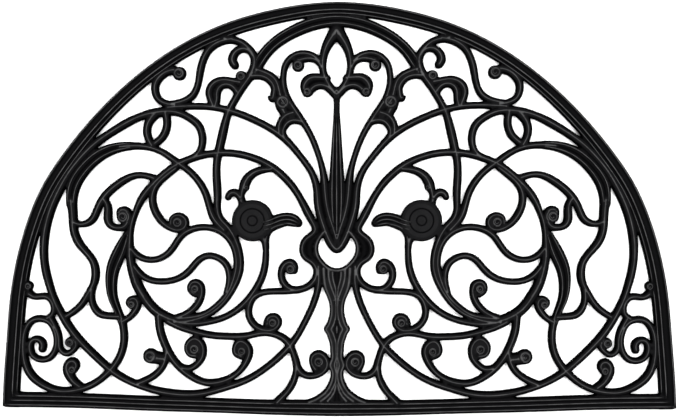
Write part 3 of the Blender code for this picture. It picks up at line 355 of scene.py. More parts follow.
        (14.5, 347.5, 5.5), (17.7, 353.9, 6.3), (24, 357.8, 7), (31, 358, 7.2), (38.5, 356.3, 8),
    )),
    Strand("bridge_outer", (
        (80.7, 347.5, 7.5), (73, 344.7, 7.5), (66, 341.3, 7.5), (60.8, 336, 7.5), (58, 328.5, 7.5),
        (56, 320.5, 7.5), (52.5, 312.5, 7.5),
    )),
    Strand("bridge_inner", (
        (86.7, 340.5, 7.5), (78.7, 341.1, 7.5), (71, 339.2, 7.5), (65.7, 335, 7.8), (62.6, 329, 7.8),
        (62.9, 323.5, 7.5), (64.8, 318.2, 7.5), (68, 319.8, 3),
    )),
    Strand("bridge_neck", (
        (55.3, 309.5, 11.5), (52.3, 304, 10),
    )),
    Strand("bridge_hook", (
        (35.5, 295, 7), (41, 296.4, 7.7), (47, 295.3, 7.4), (51.6, 291, 7), (53.8, 284.5, 6), (52, 278.5, 7),
    )),
    Strand("bridge_lip", (
        (43.5, 304, 7.5), (49.6, 302, 7.5), (54.8, 297.5, 7.5), (57.6, 291, 7.5), (57.6, 284.5, 7.5),
    )),
    Strand("crown_leaf", (
        (85.3, 343, 9), (79.2, 352.5, 12), (72.7, 362.5, 12.5), (64.2, 371.7, 12.5), (53.6, 379.7, 13),
        (41, 386.5, 13.3), (28.5, 391.6, 13.7), (14.5, 395, 13.4), (0, 396.3, 12.8),
    ), Ribs.TWIN, True),
    Strand("crown_arch", (
        (112.9, 378.5, 7.5), (103.8, 377.2, 8), (95.8, 374.7, 8), (89.3, 369.7, 8), (84.2, 363.5, 8),
        (82.3, 355.8, 8.8), (83.4, 348.5, 9), (87.2, 341.5, 8),
    )),
    Strand("crown_hook", (
        (83.7, 360, 6), (87.1, 365.4, 6.6), (93.3, 368.2, 7.7), (99.2, 366.7, 8.6), (103.4, 362.2, 9.2),
        (104.7, 356.7, 9.6), (102.2, 351.8, 8.6),
    )),
    Strand("crossing_scroll", (
        (96.8, 334.5, 8), (103.8, 335.8, 7.2), (111.9, 337.1, 7.6), (120, 335.6, 8.4), (125.8, 330.9, 8.6),
        (128, 324.5, 8.4), (126.7, 318, 8), (124, 311.5, 8),
    )),
    Strand("crossing_lip", (
        (99.8, 325.2, 8.6), (104.5, 330.6, 8.3), (110.9, 332.6, 7.9), (117, 330.2, 8), (119.9, 324.7, 7.8),
        (120.1, 318.5, 7.2), (121.6, 311.5, 6.8),
    )),
    Strand("side_arch", (
        (266.2, 195.5, 7), (259.6, 192.6, 6.6), (252.5, 193.2, 7.4), (246.5, 197, 8.2), (242.4, 204.2, 8.4),
        (239, 212.2, 8.5), (234.3, 219.5, 8.8), (227.6, 226.8, 8.7), (219.4, 233.3, 8.7), (210.4, 238.8, 8.1),
        (201.3, 241.7, 7.2), (192.7, 241.3, 6.9), (183.5, 238.5, 8),
    )),
    Strand("side_drop", (
        (234.5, 218, 6), (231, 212, 7.7), (230.4, 203.5, 9.1), (230.2, 196.2, 9.2), (226.9, 190.9, 7.9),
        (220.5, 188.8, 7.4), (213.7, 190.1, 7.8), (209.6, 196, 7.4), (209.4, 203, 7.6), (213.4, 207, 7.4),
        (218.2, 205.6, 7.2), (218.3, 200.5, 6),
    )),
    Strand("calyx", (
        (13, 184.5, 5.4), (17.6, 178.6, 5), (20.4, 172.5, 5), (20.9, 165.8, 5), (18.6, 158.6, 5),
        (14, 152.6, 5), (10.4, 149.2, 5), (5.4, 146.8, 5), (0, 145.9, 5),
    ), Ribs.PLAIN, True),
    Strand("calyx_hollow", (
        (17, 182, 8), (24.5, 177, 9), (27.5, 168, 10), (25.5, 159.5, 9), (18.5, 153.5, 8),
    ), Ribs.WEB),
    Strand("column_outer", (
        (13.2, 148, 7), (12.6, 138, 6.6), (11.2, 129.5, 6), (8.2, 121.5, 5.2), (5.6, 114, 5), (4.9, 108, 5),
        (5.4, 100.5, 5), (7, 94.6, 5), (9.1, 90, 5), (10.8, 87.2, 5), (9.1, 84.4, 5), (7.2, 79.8, 5),
        (5.4, 74.5, 5), (4.5, 65, 5), (4.7, 57, 4.8), (6.5, 51.5, 4.8), (4.6, 46, 4.8), (4.2, 40.5, 5),
        (5.2, 35, 5.4), (6.9, 30.9, 5.6), (11.3, 24.1, 5.6), (14.6, 21.4, 5.6), (18.9, 18.3, 5.6),
        (23.3, 16, 5.6), (28.5, 14, 5.6),
    )),
    Strand("column_inner", (
        (8.3, 146.2, 5), (8, 139, 5), (5.8, 130, 4.8), (3, 122.5, 4.4), (1.1, 116, 4), (0.6, 109, 4),
        (1, 101.5, 4), (2.4, 95, 4.2), (4.4, 90, 4.6), (5.7, 87.2, 4.6), (4.4, 84.4, 4.6), (2.6, 79.8, 4.2),
        (1.1, 74, 4), (0.6, 66, 4), (0.9, 57.5, 4), (2.4, 51.5, 4), (1, 45.5, 4), (0.6, 40.5, 4),
        (1.4, 35, 4.4), (3.6, 29.6, 5), (7, 23.8, 5.4), (11.3, 19.2, 5.6), (16.5, 15.5, 5.6),
    )),
    Strand("column_almond", (
        (4.3, 144.6, 4.2), (4, 139, 4.2), (2.4, 132, 4), (1, 126, 3.8), (0.6, 120, 3.6), (0.6, 113, 3.6),
    )),
    Strand("column_foot", (
        (1, 31, 4), (2.2, 26, 4.6), (5, 20.8, 5), (9.5, 15.5, 5.4),
    )),
    Strand("column_lozenge", (
        (0, 91, 2), (0, 87.2, 5.4), (0, 83.4, 2),
    )),
    Strand("lower_lozenge", (
        (0, 54.5, 2), (0, 51.5, 3.6), (0, 48.5, 2),
    )),
    Strand("lozenge_hollow", (
        (0, 97, 5), (0, 77, 5),
    ), Ribs.WEB),
    Strand("almond_hollow", (
        (0, 142.5, 9.6), (0, 132, 7), (0, 118, 5),
    ), Ribs.WEB),
    Strand("foot_hollow", (
        (0, 26, 3), (0, 16, 9),
    ), Ribs.WEB),
)

ROSETTE = Boss(84.6, 195.8, 21, GROOVED_DISC)
BOSSES = (
    ROSETTE,
    Boss(310.4, 130.5, 4.5), Boss(268.6, 73.6, 5.5), Boss(187.4, 60, 7.8), Boss(159.8, 194.3, 6.4),
    Boss(158.1, 343.8, 7.1), Boss(95.8, 340.7, 5.8), Boss(38.7, 351.2, 6.3), Boss(29.4, 324.7, 5.3),
    Boss(54, 314.5, 8.5), Boss(214.8, 199.8, 6.9), Boss(18.2, 54.8, 6.4), Boss(266.2, 46.4, 4.8),
    Boss(206.2, 111.9, 4.8), Boss(95.4, 65.2, 5.4), Boss(142.9, 67.3, 6.3), Boss(142.3, 127.8, 5.2),
    Boss(64.3, 93.9, 5.5), Boss(46.4, 147.5, 5.8), Boss(90.5, 228.8, 2.8),
)

# the crests and grooves across each kind of bar, from its right side to its left one
SECTIONS = {
    Ribs.WEB: (Station(0, 0.25),),
    Ribs.PLAIN: (Station(0, 1),),
    Ribs.TWIN: (Station(-0.5, 0.8, 0.0018), Station(0, 0.25), Station(0.5, 0.8, 0.0018)),
    Ribs.TRIPLE: (
        Station(-0.58, 0.75, 0.0020), Station(-0.3, 0.3), Station(0, 0.75, 0.0020), Station(0.3, 0.3),
        Station(0.58, 0.75, 0.0020),
    ),
    Ribs.FRAME: (
        Station(-0.84, 0.65), Station(-0.72, 0.8, 0.0023), Station(-0.56, 0.4), Station(-0.2, 0.5),
        Station(0.1, 0.4), Station(0.24, 0.8, 0.0023), Station(0.4, 0.4), Station(0.62, 0.4),
        Station(0.76, 0.6, 0.0015),
    ),
}
# where lines of the face's points run along each kind of bar, its crests first
FACE_SIDES = {
    Ribs.WEB: (0, -0.5, 0.5),
    Ribs.PLAIN: (0, -0.4, 0.4, -0.75, 0.75),
    Ribs.TWIN: (-0.5, 0.5, 0, -0.24, 0.24, -0.68, 0.68, -0.86, 0.86),
    Ribs.TRIPLE: (0, -0.58, 0.58, -0.3, 0.3, -0.15, 0.15, -0.44, 0.44, -0.8, 0.8),
    Ribs.FRAME: (-0.72, 0.24, 0.76, -0.56, 0.4, -0.2, -0.84, 0.1, 0.62, -0.38, 0.51, -0.05, 0.88),
}


@dataclass(frozen=True)
class Relief:
    """The heights of the moulding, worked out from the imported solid's.

    Args:
        tallest: height of the frame's outer bead, in metres.
        wall_share: height of the side walls, as a share of that.
        rise_share: height of a plain bar's crest over the walls, as a share of that.
    """

    tallest: float
    wall_share: float = 0.5625
    rise_share: float = 0.3125

    @property
    def wall_top(self) -> float:
        """Height of the upright side walls."""
        return self.tallest * self.wall_share

    @property
    def rise(self) -> float:
        """Height of a plain bar's crest over the top of its walls."""
        return self.tallest * self.rise_share


class Face(NamedTuple):
    """A face over some spots.

    height is its height, depth the spots' depth inside its edge, and painted_light runs from 0, painted shade
    in the grooves and on the walls, to 1, a painted highlight on the crests.
    """

    height: np.ndarray
    depth: np.ndarray
    painted_light: np.ndarray


def unit(rows: np.ndarray) -> np.ndarray:
    """Directions of length 1 along rows of them."""
    return rows / np.hypot(*rows.T)[:, None]


def turned_left(rows: np.ndarray) -> np.ndarray:
    """Rows of directions turned a quarter to the left."""
    return rows[:, ::-1] * (-1, 1)


def run_along(points: np.ndarray) -> np.ndarray:
    """How far along a line each of its points lies, as seen from above."""
    return np.concatenate([[0], np.cumsum(np.hypot(*np.diff(points[:, :2], axis=0).T))])


def joined(first: np.ndarray, second: np.ndarray, fillet: float) -> np.ndarray:
    """The larger of two fields, with a small rounding where they are nearly the same.

    Args:
        first: one field.
        second: the other one.
        fillet: how far apart the fields may be where they still round, in metres.

    Returns:
        The joined field.
    """
    nearness = np.clip(1 - abs(first - second) / fillet, 0, None)
    return np.maximum(first, second) + fillet / 4 * nearness**2


class Length(NamedTuple):
    """A straight, tapering length of a bar: its two ends, and half its width at them."""

    start: np.ndarray
    end: np.ndarray
    half_start: float
    half_end: float

    def box(self, border: float = 0.0) -> tuple[np.ndarray, np.ndarray]:
        """The low and high corners of a box round it, with a border."""
        around = max(self.half_start, self.half_end) + border
        return np.minimum(self.start, self.end) - around, np.maximum(self.start, self.end) + around

    def reach(self, spots: np.ndarray) -> tuple[np.ndarray, np.ndarray, np.ndarray]:
        """Measures spots against it.

        Args:
            spots: places in metres, in their last axis.

        Returns:
            Each spot's depth inside the edge, its side of the path and the half width there.
        """
        span = self.end - self.start
        along = np.clip((spots - self.start) @ span / (span @ span), 0, 1)
        off = spots - self.start - along[..., None] * span
        distance = np.hypot(off[..., 0], off[..., 1])
        half = self.half_start + along * (self.half_end - self.half_start)
        leftward = span[0] * off[..., 1] - span[1] * off[..., 0]
        return half - distance, np.copysign(distance / half, leftward), half


class Bar:
    """A strand's path in metres, with its half width and section along it.

    Its points lie SPACING apart. It stands lower where it is less than SLENDER_HALF either side of its
    path, and the painted highlight on its crests is dimmer where it is ribbed and less than RIBBED_HALF
    either side. Webs and the ribs under NARROW_HALF have painted light of their own.
    """

    SPACING = 0.002
    SLENDER_HALF = 0.0035
    NARROW_HALF = 0.0031
    RIBBED_HALF = 0.0042
    LEAST_CREST = 0.75
    NARROW_LIGHT_GAIN = 1.15
    WEB_LIGHT_GAIN = 2.4

    def __init__(self, strand: Strand, step: float, flip: bool = False) -> None:
        """Draws the strand's path.

        Args:
            strand: the strand that the bar follows.
            step: length of a grid step in metres.
            flip: whether it is the mirror image on the other side of the centre line.
        """
        knots = np.array(strand.knots, float)
        if strand.runs_on:
            knots = np.concatenate([knots, knots[-2::-1] * (-1, 1, 1)])
        rows = self.smooth_path((knots - (0, MIDDLE_STEPS, 0)) * (-step if flip else step, step, step))
        self.strand = strand
        self.step = step
        self.points = rows[:, :2]
        self.half = rows[:, 2] / 2
        self.stations = SECTIONS[strand.ribs]

    @property
    def is_whole(self) -> bool:
        """Whether the bar is its own mirror image."""
        return self.strand.runs_on or not self.points[:, 0].any()

    @property
    def is_narrow(self) -> bool:
        """Whether it is one of the narrow ribs that stand side by side."""
        return self.half.mean() < self.NARROW_HALF

    @classmethod
    def smooth_path(cls, knots: np.ndarray) -> np.ndarray:
        """Rows along the smooth curve through the knots: a natural cubic spline over the chord length.

        Args:
            knots: rows of place and width, in metres.

        Returns:
            Rows of the same kind, about SPACING apart, the knots among them.
        """
        gap = np.diff(run_along(knots))[:, None]
        slope = np.diff(knots, axis=0) / gap
        system = np.eye(len(knots))
        change = np.zeros_like(knots)
        for i in range(1, len(knots) - 1):
            system[i, i - 1:i + 2] = gap[i - 1, 0], 2 * (gap[i - 1, 0] + gap[i, 0]), gap[i, 0]
            change[i] = 6 * (slope[i] - slope[i - 1])
        bend = np.linalg.solve(system, change)
        start_slope = slope - gap * (2 * bend[:-1] + bend[1:]) / 6
        growth = (bend[1:] - bend[:-1]) / (6 * gap)
        rows = []
        for i, length in enumerate(gap[:, 0]):
            pieces = int(np.ceil(length / cls.SPACING))
            s = np.arange(pieces)[:, None] * length / pieces
            rows.append(knots[i] + s * start_slope[i] + s**2 * bend[i] / 2 + s**3 * growth[i])
        return np.concatenate(rows + [knots[-1:]])

    def offset(self, side: float) -> np.ndarray:
        """The line that keeps to one side of the path, from -1 at the right edge to 1 at the left."""
        leftward = turned_left(unit(np.gradient(self.points, axis=0)))
        return self.points + leftward * (side * self.half)[:, None]

    def lengths(self) -> Iterator[Length]:
        """The straight lengths of the path."""
        return map(Length, self.points, self.points[1:], self.half, self.half[1:])

    def inside_ends(self, spots: np.ndarray) -> np.ndarray:
        """How far each spot lies inside the bar's two square ends.

        Args:
            spots: places in metres, in their last axis.

        Returns:
            Distances in metres, negative beyond an end.
        """
        tips = self.points[[0, -1]]
        inward = unit(self.points[[1, -2]] - tips)
        return np.minimum((spots - tips[0]) @ inward[0], (spots - tips[1]) @ inward[1])

    def past_mitre(self, spots: np.ndarray) -> np.ndarray:
        """Which spots lie past the mitre where the frame's sides meet its front bar.

        Args:
            spots: rows of places in metres.

        Returns:
            A truth value for each spot, never true for a bar that isn't of the frame.
        """
        inward = HALF_WIDTH_STEPS * self.step - abs(spots[:, 0])
        upward = spots[:, 1] + (MIDDLE_STEPS - CORNER_STEPS) * self.step
        if self.strand.name == "frame":
            return inward > upward
        if self.strand.name == "sill":
            return upward > inward
        return np.zeros(len(spots), bool)

    def share_of_rise(self, side: np.ndarray) -> np.ndarray:
        """The section's rise at each side: rounded flanks up to the outer stations, smooth waves between.

        Args:
            side: from -1 at the right edge to 1 at the left one.

        Returns:
            The rise as a share of the relief.
        """
        sides, rises, _ = np.array([(-1, 0, 0), *self.stations, (1, 0, 0)], float).T
        last = len(sides) - 2
        place = np.clip(np.searchsorted(sides, side, side="right") - 1, 0, last)
        share = np.clip((side - sides[place]) / (sides[place + 1] - sides[place]), 0, 1)
        eased = np.select(
            [place == 0, place == last],
            [np.sin(share * pi / 2), 1 - np.sin((1 - share) * pi / 2)],
            share**2 * (3 - 2 * share),
        )
        return rises[place] + eased * (rises[place + 1] - rises[place])

    def painted_light(self, share: np.ndarray, half: np.ndarray) -> np.ndarray:
        """The painted light on the bar's face: a painted highlight mostly on its crests, little in a web and
        at a ribbed bar's tip.

        Args:
            share: the section's rise at each spot, as a share of the relief.
            half: the bar's half width there.

        Returns:
            From 0, painted shade in the grooves, to 1, a painted highlight on the crests.
        """
        # painted light: painted highlight on the crests, painted shade in the grooves
        if self.strand.ribs is Ribs.WEB:
            return share * self.WEB_LIGHT_GAIN
        if self.is_narrow:
            return np.minimum(share * self.NARROW_LIGHT_GAIN, 1)
        crest = max([self.LEAST_CREST] + [station.rise for station in self.stations])
        fade = np.minimum(1, half / self.RIBBED_HALF) if len(self.stations) > 1 else 1
        return share / crest * fade

    def face(self, spots: np.ndarray, relief: Relief) -> Face:
        """The bar's face over each spot.

        Args:
            spots: rows of places in metres.
            relief: the heights of the moulding.

        Returns:
            The face, FAR below the mat outside the bar.
        """
        depth = np.full(len(spots), -FAR)
        side, half = np.zeros(len(spots)), np.full(len(spots), self.SLENDER_HALF)
        for length in self.lengths():
            low, high = length.box()
            near = np.flatnonzero(((spots > low) & (spots < high)).all(axis=1))
            if near.size:
                found = length.reach(spots[near])
                deeper = found[0] > depth[near]
                for values, new in zip((depth, side, half), found):
                    values[near[deeper]] = new[deeper]
        if self.strand.square:
            depth = np.minimum(depth, self.inside_ends(spots))
        share = self.share_of_rise(side)
        rise = share * relief.rise * np.minimum(1, half / self.SLENDER_HALF)
        covered = (depth > 0) & ~self.past_mitre(spots)
        return Face(np.where(covered, relief.wall_top + rise, -FAR), depth, self.painted_light(share, half))


def thinned(points: np.ndarray, tolerance: float, longest: float) -> np.ndarray:
    """The points of a line that straight joins need.

    Args:
        points: rows of places along the line.
        tolerance: how far a point may lie from its join.
        longest: how long a join may be.

    Returns:
        The points that stay.
    """
    kept = [0]
    for last in range(2, len(points)):
        first = kept[-1]
        span = points[last] - points[first]
        between = points[first + 1:last] - points[first]
        off = abs(span[0] * between[:, 1] - span[1] * between[:, 0])
        length = np.hypot(*span)
        if off.max() > tolerance * length or length > longest:
            kept.append(last - 1)
    return points[kept + [len(points) - 1]]


Crossing = tuple[tuple[int, int], tuple[int, int]]  # a grid cell's side, by the rows and columns of its ends


@dataclass
class Edges:
    """The edges of the material on a grid of depths.

    Args:
        depth: depth inside the material at each crossing of the grid, negative outside it.
        across: the grid's places across.
        up: the grid's places up.
    """

    depth: np.ndarray
    across: np.ndarray
    up: np.ndarray

    def place(self, crossing: Crossing) -> tuple[float, float]:
        """Where the edge crosses one side of a grid cell.

        Args:
            crossing: that side.

        Returns:
            The place, in metres.
        """
        (row, column), (next_row, next_column) = crossing
        share = self.depth[row, column] / (self.depth[row, column] - self.depth[next_row, next_column])
        return (
            self.across[column] + share * (self.across[next_column] - self.across[column]),
            self.up[row] + share * (self.up[next_row] - self.up[row]),
        )

    def joins(self) -> dict[Crossing, Crossing]:
        """Follows the edges from cell to cell.

        Returns:
            For each crossing of a cell's side by an edge, the next one with the material on the left.
        """
        inside = self.depth > 0
        filled = inside[:-1, :-1] * 1 + inside[:-1, 1:] + inside[1:, 1:] + inside[1:, :-1]
        follows = {}
        for row, column in zip(*np.nonzero((filled > 0) & (filled < 4))):
            around = [(row, column), (row, column + 1), (row + 1, column + 1), (row + 1, column)]
            crossings = [
                (tuple(sorted((here, there))), inside[there])
                for here, there in zip(around, around[1:] + around[:1])
                if inside[here] != inside[there]
            ]
            if not crossings[0][1]:
                crossings = crossings[1:] + crossings[:1]
            for (way_in, _), (way_out, _) in zip(crossings[::2], crossings[1::2]):
                follows[way_out] = way_in
        return follows

    def lines(self) -> list[tuple[np.ndarray, bool]]:
        """Every edge as rows of points, and whether it closes.

        Returns:
            Pairs of points and a truth value. An edge that doesn't close runs from the centre line to it.
        """
        follows = self.joins()
        entered = set(follows.values())
        open_starts = [key for key in follows if key not in entered]
        found = []
        while follows:
            key = open_starts.pop() if open_starts else next(iter(follows))
            keys = [key]
            while key in follows:
                key = follows.pop(key)
                keys.append(key)
            found.append((np.array([self.place(key) for key in keys]), keys[0] == keys[-1]))
        return found


@dataclass
class Wall:
    """One upright side of the moulding, from its foot to where the face begins.

    Args:
        line: the points of its foot, with the material on their left.
        closed: whether it ends where it begins, and not on the centre line.
    """

    line: np.ndarray
    closed: bool

    SHARPEST_TURN = -0.5

    def normals(self) -> np.ndarray:
        """Directions into the material at each point.

        Returns:
            Rows of directions, long enough to keep a set-back line even.
        """
        before, after = np.roll(self.line, 1, axis=0), np.roll(self.line, -1, axis=0)
        if not self.closed:
            before[0] = self.line[1] * (-1, 1)
            after[-1] = self.line[-2] * (-1, 1)
        arriving, leaving = unit(self.line - before), unit(after - self.line)
        turn = np.clip((arriving * leaving).sum(axis=1), self.SHARPEST_TURN, 1)
        return turned_left(arriving + leaving) / (1 + turn)[:, None]

    def set_back(self, distance: float) -> np.ndarray:
        """The line moved into the material by a distance."""
        return self.line + distance * self.normals()

    def links(self, first: int) -> list[tuple[int, int]]:
        """Pairs of neighbouring points, numbered from first on."""
        numbers = list(range(first, first + len(self.line)))
        return list(zip(numbers, numbers[1:] + numbers[:self.closed]))


@dataclass
class Crowd:
    """Keeps places apart: a hash grid of what has settled so far.

    Args:
        cell: size of the hash grid's cells, at least as wide as the widest gap asked for.
        cells: the places that have settled in each cell.
    """

    cell: float
    cells: dict[tuple[int, int], list[tuple[float, float]]] = field(default_factory=dict)

    def settle(self, spots: np.ndarray) -> None:
        """Takes each place."""
        for x, y in spots.tolist():
            self.cells.setdefault((int(x // self.cell), int(y // self.cell)), []).append((x, y))

    def has_room(self, spot: np.ndarray, gap: float) -> bool:
        """Whether no settled place is nearer than a gap.

        Args:
            spot: the place asked for.
            gap: the gap, at most the cell's size.

        Returns:
            A truth value.
        """
        x, y = spot.tolist()
        columns, rows = (range(int(value // self.cell) - 1, int(value // self.cell) + 2) for value in (x, y))
        near = (self.cells.get((column, row), ()) for column in columns for row in rows)
        return not any(hypot(x - near_x, y - near_y) < gap for cell in near for near_x, near_y in cell)


def in_material(spots: np.ndarray, points: np.ndarray, links: Sequence[tuple[int, int]]) -> np.ndarray:
    """Whether a line from each spot to the right crosses the edges an odd number of times.

    Args:
        spots: rows of places.
        points: the points of the edges.
        links: pairs of points that an edge joins.

    Returns:
        A truth value for each spot.
    """
    order = np.argsort(spots[:, 1])
    levels = spots[order, 1]
    crossings = np.zeros(len(spots), int)
    for (x0, y0), (x1, y1) in points[np.array(links)]:
        if y0 != y1:
            rows = order[slice(*np.searchsorted(levels, (min(y0, y1), max(y0, y1))))]
            crossings[rows] += x0 + (spots[rows, 1] - y0) / (y1 - y0) * (x1 - x0) > spots[rows, 0]
    return crossings % 2 == 1


def stretched(
    points: np.ndarray, edge_links: list[tuple[int, int]], crest_links: list[tuple[int, int]]
) -> tuple[np.ndarray, np.ndarray, np.ndarray]:
    """Stretches triangles over the material between its edges.

    Args:
        points: rows of places, the edges' own ones among them.
        edge_links: pairs of points that an edge joins.
        crest_links: pairs of points that a crest or groove joins.

    Returns:
        The places used, the triangles anticlockwise, and the number of each point's place.
    """
    spots, _, faces, origins, _, _ = delaunay_2d_cdt(points.tolist(), edge_links + crest_links, [], 0, MERGED)
    places, triangles = np.array(spots), np.array(faces)
    tips = places[triangles]
    sides = tips[:, 1:] - tips[:, :1]
    clockwise = sides[:, 0, 0] * sides[:, 1, 1] < sides[:, 0, 1] * sides[:, 1, 0]
    triangles[clockwise] = triangles[clockwise, ::-1]
    place_of = np.zeros(len(points), int)
    for place, numbers in enumerate(origins):
        place_of[numbers] = place
    return places, triangles[in_material(tips.mean(axis=1), points, edge_links)], place_of


class Level(NamedTuple):
    """A line round a wall: its height as a share of the wall's, and how far it stands back, in metres."""

    share: float
    back: float


class Guide(NamedTuple):
    """Places that the face is stretched over, how near they may lie to others, and if they are linked."""

    places: np.ndarray
    gap: float
    linked: bool


@dataclass
class Moulding:
    """The mat's skin: walls, face and underside as one closed mesh.

    The drawn half is built on the right of the centre line and mirrored. fillet and face_fillet round
    where bars meet, in outline and in height. The gaps say how near to each other the face's points may lie,
    and the spacings how far apart those of the rings and the fillers are.
    """

    step: float
    relief: Relief
    fillet: float = 0.0016
    face_fillet: float = 0.0004
    cell: float = 0.001
    edge_tolerance: float = 0.00006
    longest_edge: float = 0.004
    least_opening: float = 4e-6
    face_gap: float = 0.0011
    fine_gap: float = 0.0006
    ring_gap: float = 0.0006
    ring_spacing: float = 0.00132
    filler_spacing: float = 0.0017
    filler_gap: float = 0.001275
    levels: tuple[Level, ...] = (
        Level(0.0, 0.0), Level(0.86, 0.00035), Level(0.96, 0.00052), Level(1.0, 0.0008)
    )
    walls: list[Wall] = field(default_factory=list)

    def __post_init__(self) -> None:
        """Draws the bars, with the mirror images that reach over the centre line."""
        self.drawn = [Bar(strand, self.step) for strand in STRANDS]
        reflected = [Bar(bar.strand, self.step, flip=True) for bar in self.drawn if not bar.is_whole]
        self.bars = self.drawn + [bar for bar in reflected if bar.points[:, 0].max() > -2 * bar.half.max()]

    def boss_place(self, boss: Boss) -> np.ndarray:
        """A boss's middle in metres."""
        return np.array([boss.across, boss.up - MIDDLE_STEPS]) * self.step

    def grid_depth(self, across: np.ndarray, up: np.ndarray) -> np.ndarray:
        """How deep each crossing of the grid lies inside the material.

        Args:
            across: the grid's places across.
            up: the grid's places up.

        Returns:
            Depths in metres, negative outside the material.
        """
        spots = np.stack(np.meshgrid(across, up), axis=-1)
        total = np.full((len(up), len(across)), -FAR)
        for bar in self.bars:
            depth = np.full_like(total, -FAR)
            for length in bar.lengths():
                low, high = length.box(2 * self.fillet)
                rows = slice(*np.searchsorted(up, (low[1], high[1])))
                columns = slice(*np.searchsorted(across, (low[0], high[0])))
                inside = length.reach(spots[rows, columns])[0]
                depth[rows, columns] = np.maximum(depth[rows, columns], inside)
            if bar.strand.square:
                depth = np.minimum(depth, bar.inside_ends(spots))
            total = joined(total, depth, self.fillet)
        for boss in BOSSES:
            off = spots - self.boss_place(boss)
            total = joined(total, boss.radius * self.step - np.hypot(off[..., 0], off[..., 1]), self.fillet)
        return total

    def find_walls(self) -> None:
        """Finds the edges of the drawn half and keeps them as walls."""
        reach_up = (MIDDLE_STEPS + BORDER_STEPS) * self.step
        across = np.arange(0, (HALF_WIDTH_STEPS + BORDER_STEPS) * self.step, self.cell)
        up = np.arange(-reach_up, reach_up, self.cell)
        for line, closed in Edges(self.grid_depth(across, up), across, up).lines():
            x, y = line.T
            if closed and abs(x @ np.roll(y, -1) - y @ np.roll(x, -1)) / 2 < self.least_opening:
                continue
            line = thinned(line, self.edge_tolerance, self.longest_edge)
            self.walls.append(Wall(line[:-1] if closed else line, closed))

    def boss_face(self, boss: Boss, spots: np.ndarray) -> Face:
        """The boss's face over each spot.

        Args:
            boss: the round end.
            spots: rows of places in metres.

        Returns:
            The face, FAR below the mat outside the boss.
        """
        radius = boss.radius * self.step
        off = np.hypot(*(spots - self.boss_place(boss)).T) / radius
        share = np.interp(off, *np.array(boss.turned.rings).T[:2])
        height = np.where(off < 1, self.relief.wall_top + share * self.relief.rise, -FAR)
        # painted light over the boss: painted highlight on its crest rings, widened by its face's spread
        return Face(height, (1 - off) * radius, np.minimum(share * boss.turned.highlight_spread, 1))

    def layers(self, spots: np.ndarray) -> Iterator[Face]:
        """The faces over each spot of every bar, hidden on the rosette's flat disc, and of every boss.

        Args:
            spots: rows of places in metres.

        Returns:
            One face after another.
        """
        on_disc = self.boss_face(ROSETTE, spots).height > 0
        for bar in self.bars:
            face = bar.face(spots, self.relief)
            yield face._replace(height=np.where(on_disc, -FAR, face.height))
        for boss in BOSSES:
            yield self.boss_face(boss, spots)

    def face(self, spots: np.ndarray) -> Face:
        """The mat's face over each spot, its layers joined.

        Args:
            spots: rows of places in metres.

        Returns:
            The face, at the top of the walls outside the material.
        """
        height, depth = np.full((2, len(spots)), -FAR)
        painted_light = np.zeros(len(spots))
        for layer in self.layers(spots):
            # the painted light of the highest layer wins
            painted_light = np.where(layer.height > height, layer.painted_light, painted_light)
            height = joined(height, layer.height, self.face_fillet)
            depth = joined(depth, layer.depth, self.fillet)
        return Face(np.maximum(height, self.relief.wall_top), depth, painted_light)

    def boss_guides(self) -> Iterator[Guide]:
        """Rings of places over each boss, along the crests and grooves of its section.

        Returns:
            One guide for each ring.
        """
        for boss in BOSSES:
            for ring in boss.turned.rings[:-1]:
                radius = ring.side * boss.radius * self.step
                count = max(1, round(2 * pi * radius / self.ring_spacing))
                turn = np.arange(count) * 2 * pi / count
                around = np.stack([np.cos(turn), np.sin(turn)], axis=1) * radius
                yield Guide(around + self.boss_place(boss), self.ring_gap, False)

    def bar_guides(self) -> Iterator[Guide]:
        """Lines of places along the bars: their crests first, then their grooves and flanks.

        Returns:
            One guide for each line.
        """
        for order in range(max(map(len, FACE_SIDES.values()))):
            for bar in self.drawn:
                sides = FACE_SIDES[bar.strand.ribs]
                if order < len(sides):
                    line = bar.offset(sides[order])
                    gap = self.fine_gap if bar.is_narrow else self.face_gap
                    linked = sides[order] in [station.side for station in bar.stations]
                    yield Guide(line[~bar.past_mitre(line)], gap, linked)

    def fillers(self) -> Guide:
        """Places of an even lattice over the drawn half, for the broad stretches between the other guides.

        Returns:
            The guide.
        """
        reach_up = MIDDLE_STEPS * self.step
        across = np.arange(0, HALF_WIDTH_STEPS * self.step, self.filler_spacing)
        up = np.arange(-reach_up, reach_up, self.filler_spacing * sin(pi / 3))
        spots = np.stack(np.meshgrid(across, up), axis=-1)
        spots[1::2, :, 0] += self.filler_spacing / 2
        return Guide(spots.reshape(-1, 2), self.filler_gap, False)

    def face_places(self) -> tuple[np.ndarray, list[tuple[int, int]]]:
        """The places inside the face's rim that the face is stretched over.

        Returns:
            The places, and pairs of them that are linked along a crest or a groove.
        """
        guides = [*self.boss_guides(), *self.bar_guides(), self.fillers()]
        spots = np.concatenate([guide.places for guide in guides])
        spots[abs(spots[:, 0]) < CENTRED, 0] = 0
        rim = self.levels[-1].back
        on_half = (spots[:, 0] == 0) | (spots[:, 0] > self.fine_gap / 2)
        allowed = on_half & (self.face(spots).depth > rim + self.fine_gap / 2)
        crowd = Crowd(2 * self.face_gap)
        for wall in self.walls:
            crowd.settle(wall.set_back(rim))
        taken, links = [], []
        first = 0
        for guide in guides:
            previous = None
            for number in range(first, first + len(guide.places)):
                if allowed[number] and crowd.has_room(spots[number], guide.gap):
                    crowd.settle(spots[number:number + 1])
                    if guide.linked and previous == number - 1:
                        links.append((len(taken) - 1, len(taken)))
                    taken.append(spots[number])
                    previous = number
            first += len(guide.places)
        return np.array(taken), links

